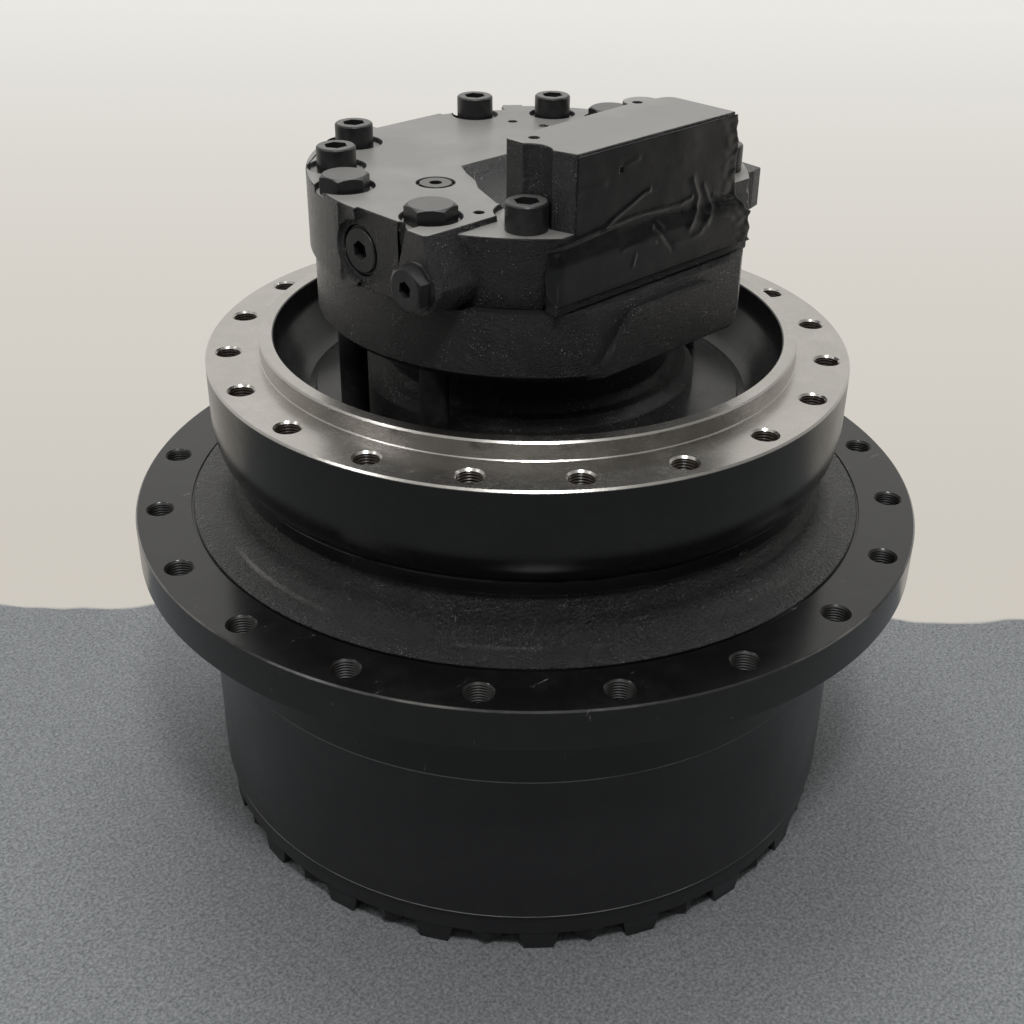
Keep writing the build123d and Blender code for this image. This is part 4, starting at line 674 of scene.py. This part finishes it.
# The block's back wall with its round boss, both ears, the shoulder's left end, the rim's tab and corner
block_back = ([(-106, -96), (-106, -80)] + arc_points((54, -74), 16, 175, -2, 12)
              + [(77, -75.7), (80.5, -77.4), (83.5, -80.5), (85, -85.5), (85, -96)])
ear = arc_points((-74.5, 120), 24, 0, -180, 12) + [(-85, 160), (-63, 160)]
ear_face = ear[:-3] + [(-95, 120), (-81.5, 160), (-63, 160)]
far_ear = [(142, -101.5), (174, -105), (188.5, -101.5), (192, -66), (142, -66)]
shoulder = [(-138, 97), (-150, 97), (-150, 132), (-146, 143), (-138, 143)]
rim_corner = [(-26, 160)] + arc_points((0, 0), 187.9, 97.95, 115.2) + [(-80, 160)]
pad_corner = [(-178, 26.2)] + arc_points((0, 0), 187.9, 172, 179.4, 4) + [(-178, 2)]
tab_turn = Matrix.Rotation(math.radians(50.3), 2)
tab = [tuple(tab_turn @ Vector(corner)) for corner in ((162, -9.5), (191.9, -9.5), (191.9, 9.5), (162, 9.5))]
cut_away(cover, solid_tool(
    plain(block_back, 147.5, 215), ([(-192, ear_face), (-188.5, ear), (-150, ear)], "X"),
    plain(far_ear, 105.7, 140), plain(shoulder, -120, -111, "X"), plain(rim_corner, 96, 160),
    plain(pad_corner, 96, 160), plain(tab, 96, 160),
), "UNION")

# Spot faces of the screws, bolts and plug, and the small holes. Screws and bolts stand at these
# places, in millimetres, on the left and on the right.
screw_places = [(128, 99.5), (72, 146), (116, -113)]
bolt_x, bolt_y = 157, 52
pocket = arc_points((-92, -95), 29.5, 35, 160, 12) + [(-119.8, -86), (-106, -86), (-106, -80)]
wide_ring, bore_ring = (circle((2, 125), radius) for radius in (25, 20.5))
spool_seat = ([(-196, wide_ring), (-184, wide_ring), (-184, bore_ring), (-169, bore_ring)], "X")
cut_away(cover, solid_tool(
    *[disc(x, y, 24, 155, 161) for x in (-bolt_x, bolt_x) for y in (-bolt_y, bolt_y)],
    *[disc(side * x, y, radius, 155.5, 161)
      for side, radius in ((-1, 24), (1, 21)) for x, y in screw_places[:2]],
    plain(pocket, 155.5, 161), spool_seat,
    *[disc(x, y, 3.8, 152, 161) for x, y in ((-124.1, -69.7), (90.9, 73.9), (80.2, 103.7))],
    *[disc(x, y, 3.8, 207, 216) for x, y in ((-88.6, -92.1), (48.7, -73.4))],
))
rounded_edges(cover, 0.0011, clamp=False)


# Screws, bolts and plugs
# Blackened steel screws: socket heads on the cover, long hexagon bolts through the motor,
# hexagon bolts between the cover's lugs, and flush or hexagon plugs in the ports.
screw_black, tree, surface, vector = new_finish("screw_black")
peel = placed_group(tree, spray_peel, vector, Scale=1500.0)
marks = placed_group(tree, handling, vector, Amount=1.0)
# The heads' tops are coloured lighter than their sides: a painted sheen where they face up
steel_with_painted_sheen = blend_colours(tree, level_faces(tree, 0.55), (0.011, 0.011, 0.012, 1), (0.12, 0.12, 0.115, 1))
tone = blend_colours(tree, sums(tree, "MULTIPLY", marks["Dust"], 0.3), steel_with_painted_sheen, dust_grey)
set_surface(
    tree, surface,
    Base_Color=tone,
    Roughness=ramp(tree, peel["Shine"], 0.3, 0.7, 0.3, 0.42),
    Normal=bumped(tree, peel["Height"], 0.00006, 0.25),
)
for node, edge in (("cover_bolts", 0.0006), ("cover_bolt_washers", 0.0), ("cover_plugs", 0.0006)):
    dressed(node + "_black", node, "hub", screw_black, edge)


def add_head(shape, place, rings, steps=72):
    """Adds a head of rings in millimetres: round or hexagonal, radius or half width, height, and the
    radius from which a 30 degree chamfer drops."""
    loops = []
    for kind, size, height, chamfer_from in rings:
        loop = []
        for index in range(steps):
            angle = math.tau * index / steps
            off_flat = (angle + math.pi / 6) % (math.pi / 3) - math.pi / 6
            radius = size if kind == "round" else size / math.cos(off_flat)
            drop = max(0.0, radius - chamfer_from) * math.tan(math.radians(30)) if chamfer_from else 0.0
            point = place @ Vector((radius * math.cos(angle), radius * math.sin(angle), height - drop))
            loop.append(shape.verts.new(point / 1000))
        loops.append(loop)
    close_loops(shape, loops)


def headed_piece(node, heads, rings):
    """Screws or plugs of one kind at their places, in place of the CAD node."""
    shape = bmesh.new()
    for place in heads:
        add_head(shape, place, rings)
    bmesh.ops.recalc_face_normals(shape, faces=shape.faces)
    piece = finished_object(node + "_black", shape, "frame_side")
    piece.data.materials.append(screw_black)
    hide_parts(node)
    rounded_edges(piece, 0.0005)


def upright(x, y, z, turn=0.0):
    """A place on the cover's top, turned about its own axis."""
    return Matrix.Translation((x, y, z)) @ Matrix.Rotation(math.radians(turn), 4, "Z")


def sideways(x, y, z, turn=0.0):
    """A place on a side of the motor, facing away from its middle."""
    out = 1 if x > 0 else -1
    axes = Matrix(((0, 0, out, x), (1, 0, 0, y), (0, out, 0, z), (0, 0, 0, 1)))
    return axes @ Matrix.Rotation(math.radians(turn), 4, "Z")


headed_piece("cap_screws", [upright(side * x, y, 155.5, 30) for side in (-1, 1) for x, y in screw_places],
             [("round", 10, -90, 0), ("round", 10, 0, 0), ("round", 16.5, 0, 0), ("round", 16.5, 20.6, 0),
              ("round", 15.1, 22, 0), ("hex", 8.5, 22, 0), ("hex", 8.5, 12, 0)])
headed_piece("motor_bolts", [upright(-bolt_x, bolt_y, 155, 66), upright(-bolt_x, -bolt_y, 155, 49),
                             upright(bolt_x, bolt_y, 155, 40), upright(bolt_x, -bolt_y, 155, 80)],
             [("round", 12, -217, 0), ("round", 12, 0, 0), ("hex", 18, 0, 0), ("hex", 18, 15, 17.1),
              ("round", 17.1, 15, 0)])
headed_piece("spool_plugs", [sideways(-184, 2, 125, 10), sideways(184, 2, 125, 10)],
             [("round", 19.9, -15, 0), ("round", 19.9, -3, 0), ("round", 18, -3, 0), ("round", 18, -0.8, 0),
              ("round", 17.2, 0, 0), ("hex", 7, 0, 0), ("hex", 7, -9, 0)])
headed_piece("ear_plug", [sideways(-192, -76, 120, 54)],
             [("round", 18.5, 0, 0), ("round", 18.5, 3, 0), ("hex", 16, 3, 0), ("hex", 16, 13, 15.2),
              ("round", 15.2, 13, 0), ("hex", 6, 13, 0), ("hex", 6, 4, 0)])
headed_piece("top_plug", [upright(-97.8, 9.7, 160)],
             [("round", 15.4, -13, 0), ("round", 15.4, -3, 0), ("round", 13.3, -3, 0), ("round", 13.3, 0, 0),
              ("round", 5, 0, 0), ("round", 5, -9, 0)])


# Port film
# A thin black shrink film over the port face and the shoulder below, to keep dirt out in shipping.
film_finish, tree, surface, vector = new_finish("film_black")
marks = placed_group(tree, handling, vector, Amount=1.0)
dusty = sums(tree, "MULTIPLY", marks["Dust"], 0.1)
set_surface(
    tree, surface,
    Base_Color=blend_colours(tree, dusty, (0.006, 0.006, 0.0065, 1), dust_grey),
    Roughness=ramp(tree, marks["Smears"], 0.0, 1.0, 0.24, 0.34),
    Normal=bumped(tree, noise_value(tree, vector, 90.0, 4.0, 0.6), 0.0004, 0.4),
)

# Folds of the film as lines of (across, height) in millimetres, with their rise and half width
film_folds = [
    ([(-122, 150), (-105, 150.3), (-69, 153.4), (-31, 155.4), (0, 154.5), (21, 153.4), (35, 155.8)], 1.7, 1.7),
    ([(-120, 146), (-90, 147), (-53, 151), (-23, 152.2), (1, 150.4), (22, 147)], -1.0, 1.5),
    ([(-68, 153.6), (-55, 159.8), (-39, 165.3), (-24, 171.3), (-17, 172.5)], 1.7, 1.3),
    ([(35, 170), (43, 154.5), (41, 144), (30, 132.7)], 1.7, 2.2),
    ([(49, 162.4), (60, 143.7), (53, 131.3)], 1.1, 1.8),
    ([(52, 138.5), (70, 133.1), (86, 128.1)], 1.0, 1.2),
    ([(-10, 142.8), (-6, 139.1), (3, 128.9), (11, 120.1)], -1.3, 1.4),
    ([(-14, 142.3), (-8.5, 145.1), (-2, 139.6)], 1.0, 1.3),
    ([(-50, 132.7), (-37, 134.2), (-11, 130.2)], 0.9, 1.4),
    ([(-34, 125.5), (-37, 116.8)], 1.1, 1.0),
    ([(12, 124.1), (32, 123.4), (45, 126.1), (52, 134.2)], 1.2, 2.2),
    ([(-102, 185.2), (-90, 187.6), (-70, 187.2)], 0.6, 2.5),
    ([(-32, 199.8), (-45, 197.3)], 0.7, 1.6),
    ([(-117, 143), (-119, 138), (-120, 107)], 1.4, 1.8),
    ([(70, 142), (85, 140), (100, 136)], 1.0, 1.3),
    ([(62, 152), (76, 147), (92, 145), (103, 134)], 1.2, 1.5),
    ([(-112, 104.6), (112, 104.6)], 0.9, 1.2),
]
right_edge = [(104, 112), (107, 109), (115, 111), (124, 107), (129, 111), (134, 102), (145, 93), (163, 89.5),
              (178, 90.5), (191, 90.5), (201, 86.5), (207, 88.5), (213, 86)]
left_edge = [(104, -120), (115, -125), (130, -126), (147, -124), (151, -108), (154, -98.4), (213, -98.4)]
puncture_across, puncture_up, puncture_radius = -50.9, 194.7, 2.2


def value_along(table, at):
    """Reads a table of (position, value) pairs at a position between them."""
    for (low, first), (high, last) in zip(table, table[1:]):
        if at <= high:
            return first + (last - first) * max(0.0, (at - low) / (high - low))
    return table[-1][1]


def film_rise(across, up):
    """How far the film's folds and slack stand out at a place, in millimetres."""
    rise = 0.4 + 0.5 * noise.noise(Vector((across / 44, up / 26, 3.1)))
    rise += 0.12 * noise.noise(Vector((across / 15, up / 11, 8.7)))
    ragged = max(0.0, 1 - (value_along(right_edge, up) - across) / 22)
    rise += ragged * 0.8 * noise.noise(Vector((across / 9, up / 5, 1.3)))
    for line, height, width in film_folds:
        nearest = 99.0
        for (x0, z0), (x1, z1) in zip(line, line[1:]):
            run, climb = x1 - x0, z1 - z0
            share = ((across - x0) * run + (up - z0) * climb) / (run * run + climb * climb)
            share = min(1.0, max(0.0, share))
            nearest = min(nearest, math.hypot(across - x0 - run * share, up - z0 - climb * share))
        ridge = 0.35 + 0.65 * math.exp(-nearest / width)
        rise += 0.6 * height * ridge * math.exp(-(nearest / width / 1.7) ** 2)
    return max(rise, 0.0)


# The film in millimetres: its lower and upper edge, the port face with the step down to the shoulder,
# and where it rolls back at the left
film_columns, film_rows = 190, 96
film_low, film_high = 104, 213
port_face, step_out, step_top, step_height = 146.25, 4.0, 150, 17
roll_start, roll_radius = -113, 11
film_shape = bmesh.new()
film_grid = []
for row in range(film_rows + 1):
    up = film_low + (film_high - film_low) * row / film_rows
    first, last = value_along(left_edge, up), value_along(right_edge, up)
    line = []
    for column in range(film_columns + 1):
        across = first + (last - first) * column / film_columns
        step = min(1.0, max(0.0, (step_top - up) / step_height))
        plane = port_face + step_out * step * step * (3 - 2 * step)
        rolled = max(0.0, roll_start - across)
        out = plane + film_rise(across, up) - rolled * rolled / (2 * roll_radius)
        line.append(film_shape.verts.new((across / 1000, -out / 1000, up / 1000)))
    film_grid.append(line)
for low, high in zip(film_grid, film_grid[1:]):
    for column in range(film_columns):
        middle = (low[column].co + high[column + 1].co) / 2 * 1000
        if math.hypot(middle.x - puncture_across, middle.z - puncture_up) > puncture_radius:
            film_shape.faces.new((low[column], low[column + 1], high[column + 1], high[column]))
bmesh.ops.delete(film_shape, geom=[v for v in film_shape.verts if not v.link_faces], context="VERTS")
film = finished_object("port_film_black", film_shape, "frame_side")
film.data.materials.append(film_finish)
film.data.shade_smooth()
skin = film.modifiers.new("skin", "SOLIDIFY")
skin.thickness = 0.0003
skin.offset = 1.0
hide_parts("port_film")


# Inner pieces
# Bearings, gears, carriers and the motor's turning parts, closed in by the castings.
def inner_finish(name, colour, second, metallic, rough):
    """A plain machined finish with faint turning marks."""
    material, tree, surface, vector = new_finish(name)
    turned = placed_group(tree, turned_face, vector, Pitch=0.0008)
    set_surface(tree, surface,
                Base_Color=blend_colours(tree, ramp(tree, turned["Tone"], 0.35, 0.65), colour, second),
                Metallic=metallic,
                Roughness=ramp(tree, turned["Tone"], 0.3, 0.7, rough, rough + 0.1),
                Normal=bumped(tree, turned["Height"], 0.00002, 0.3))
    return material


inner_finishes = {
    "bright_steel": inner_finish("ground_steel", (0.5, 0.5, 0.5, 1), (0.6, 0.6, 0.6, 1), 1.0, 0.2),
    "gear_steel": inner_finish("case_hardened", (0.34, 0.34, 0.35, 1), (0.45, 0.45, 0.45, 1), 1.0, 0.3),
    "carrier_iron": inner_finish("carrier_iron", (0.22, 0.22, 0.22, 1), (0.3, 0.3, 0.29, 1), 0.9, 0.4),
    "bronze": inner_finish("bronze", (0.55, 0.37, 0.17, 1), (0.65, 0.46, 0.22, 1), 1.0, 0.28),
    "seal_rubber": inner_finish("seal_rubber", (0.018, 0.018, 0.018, 1), (0.03, 0.03, 0.03, 1), 0.0, 0.6),
    "black_screw": screw_black,
}
for entry in frame["record"]["subparts"]:
    node = frame["nodes"][entry["node"]]
    if not node.hide_render:
        node.data.materials.clear()
        node.data.materials.append(inner_finishes[entry["material_slot"]])
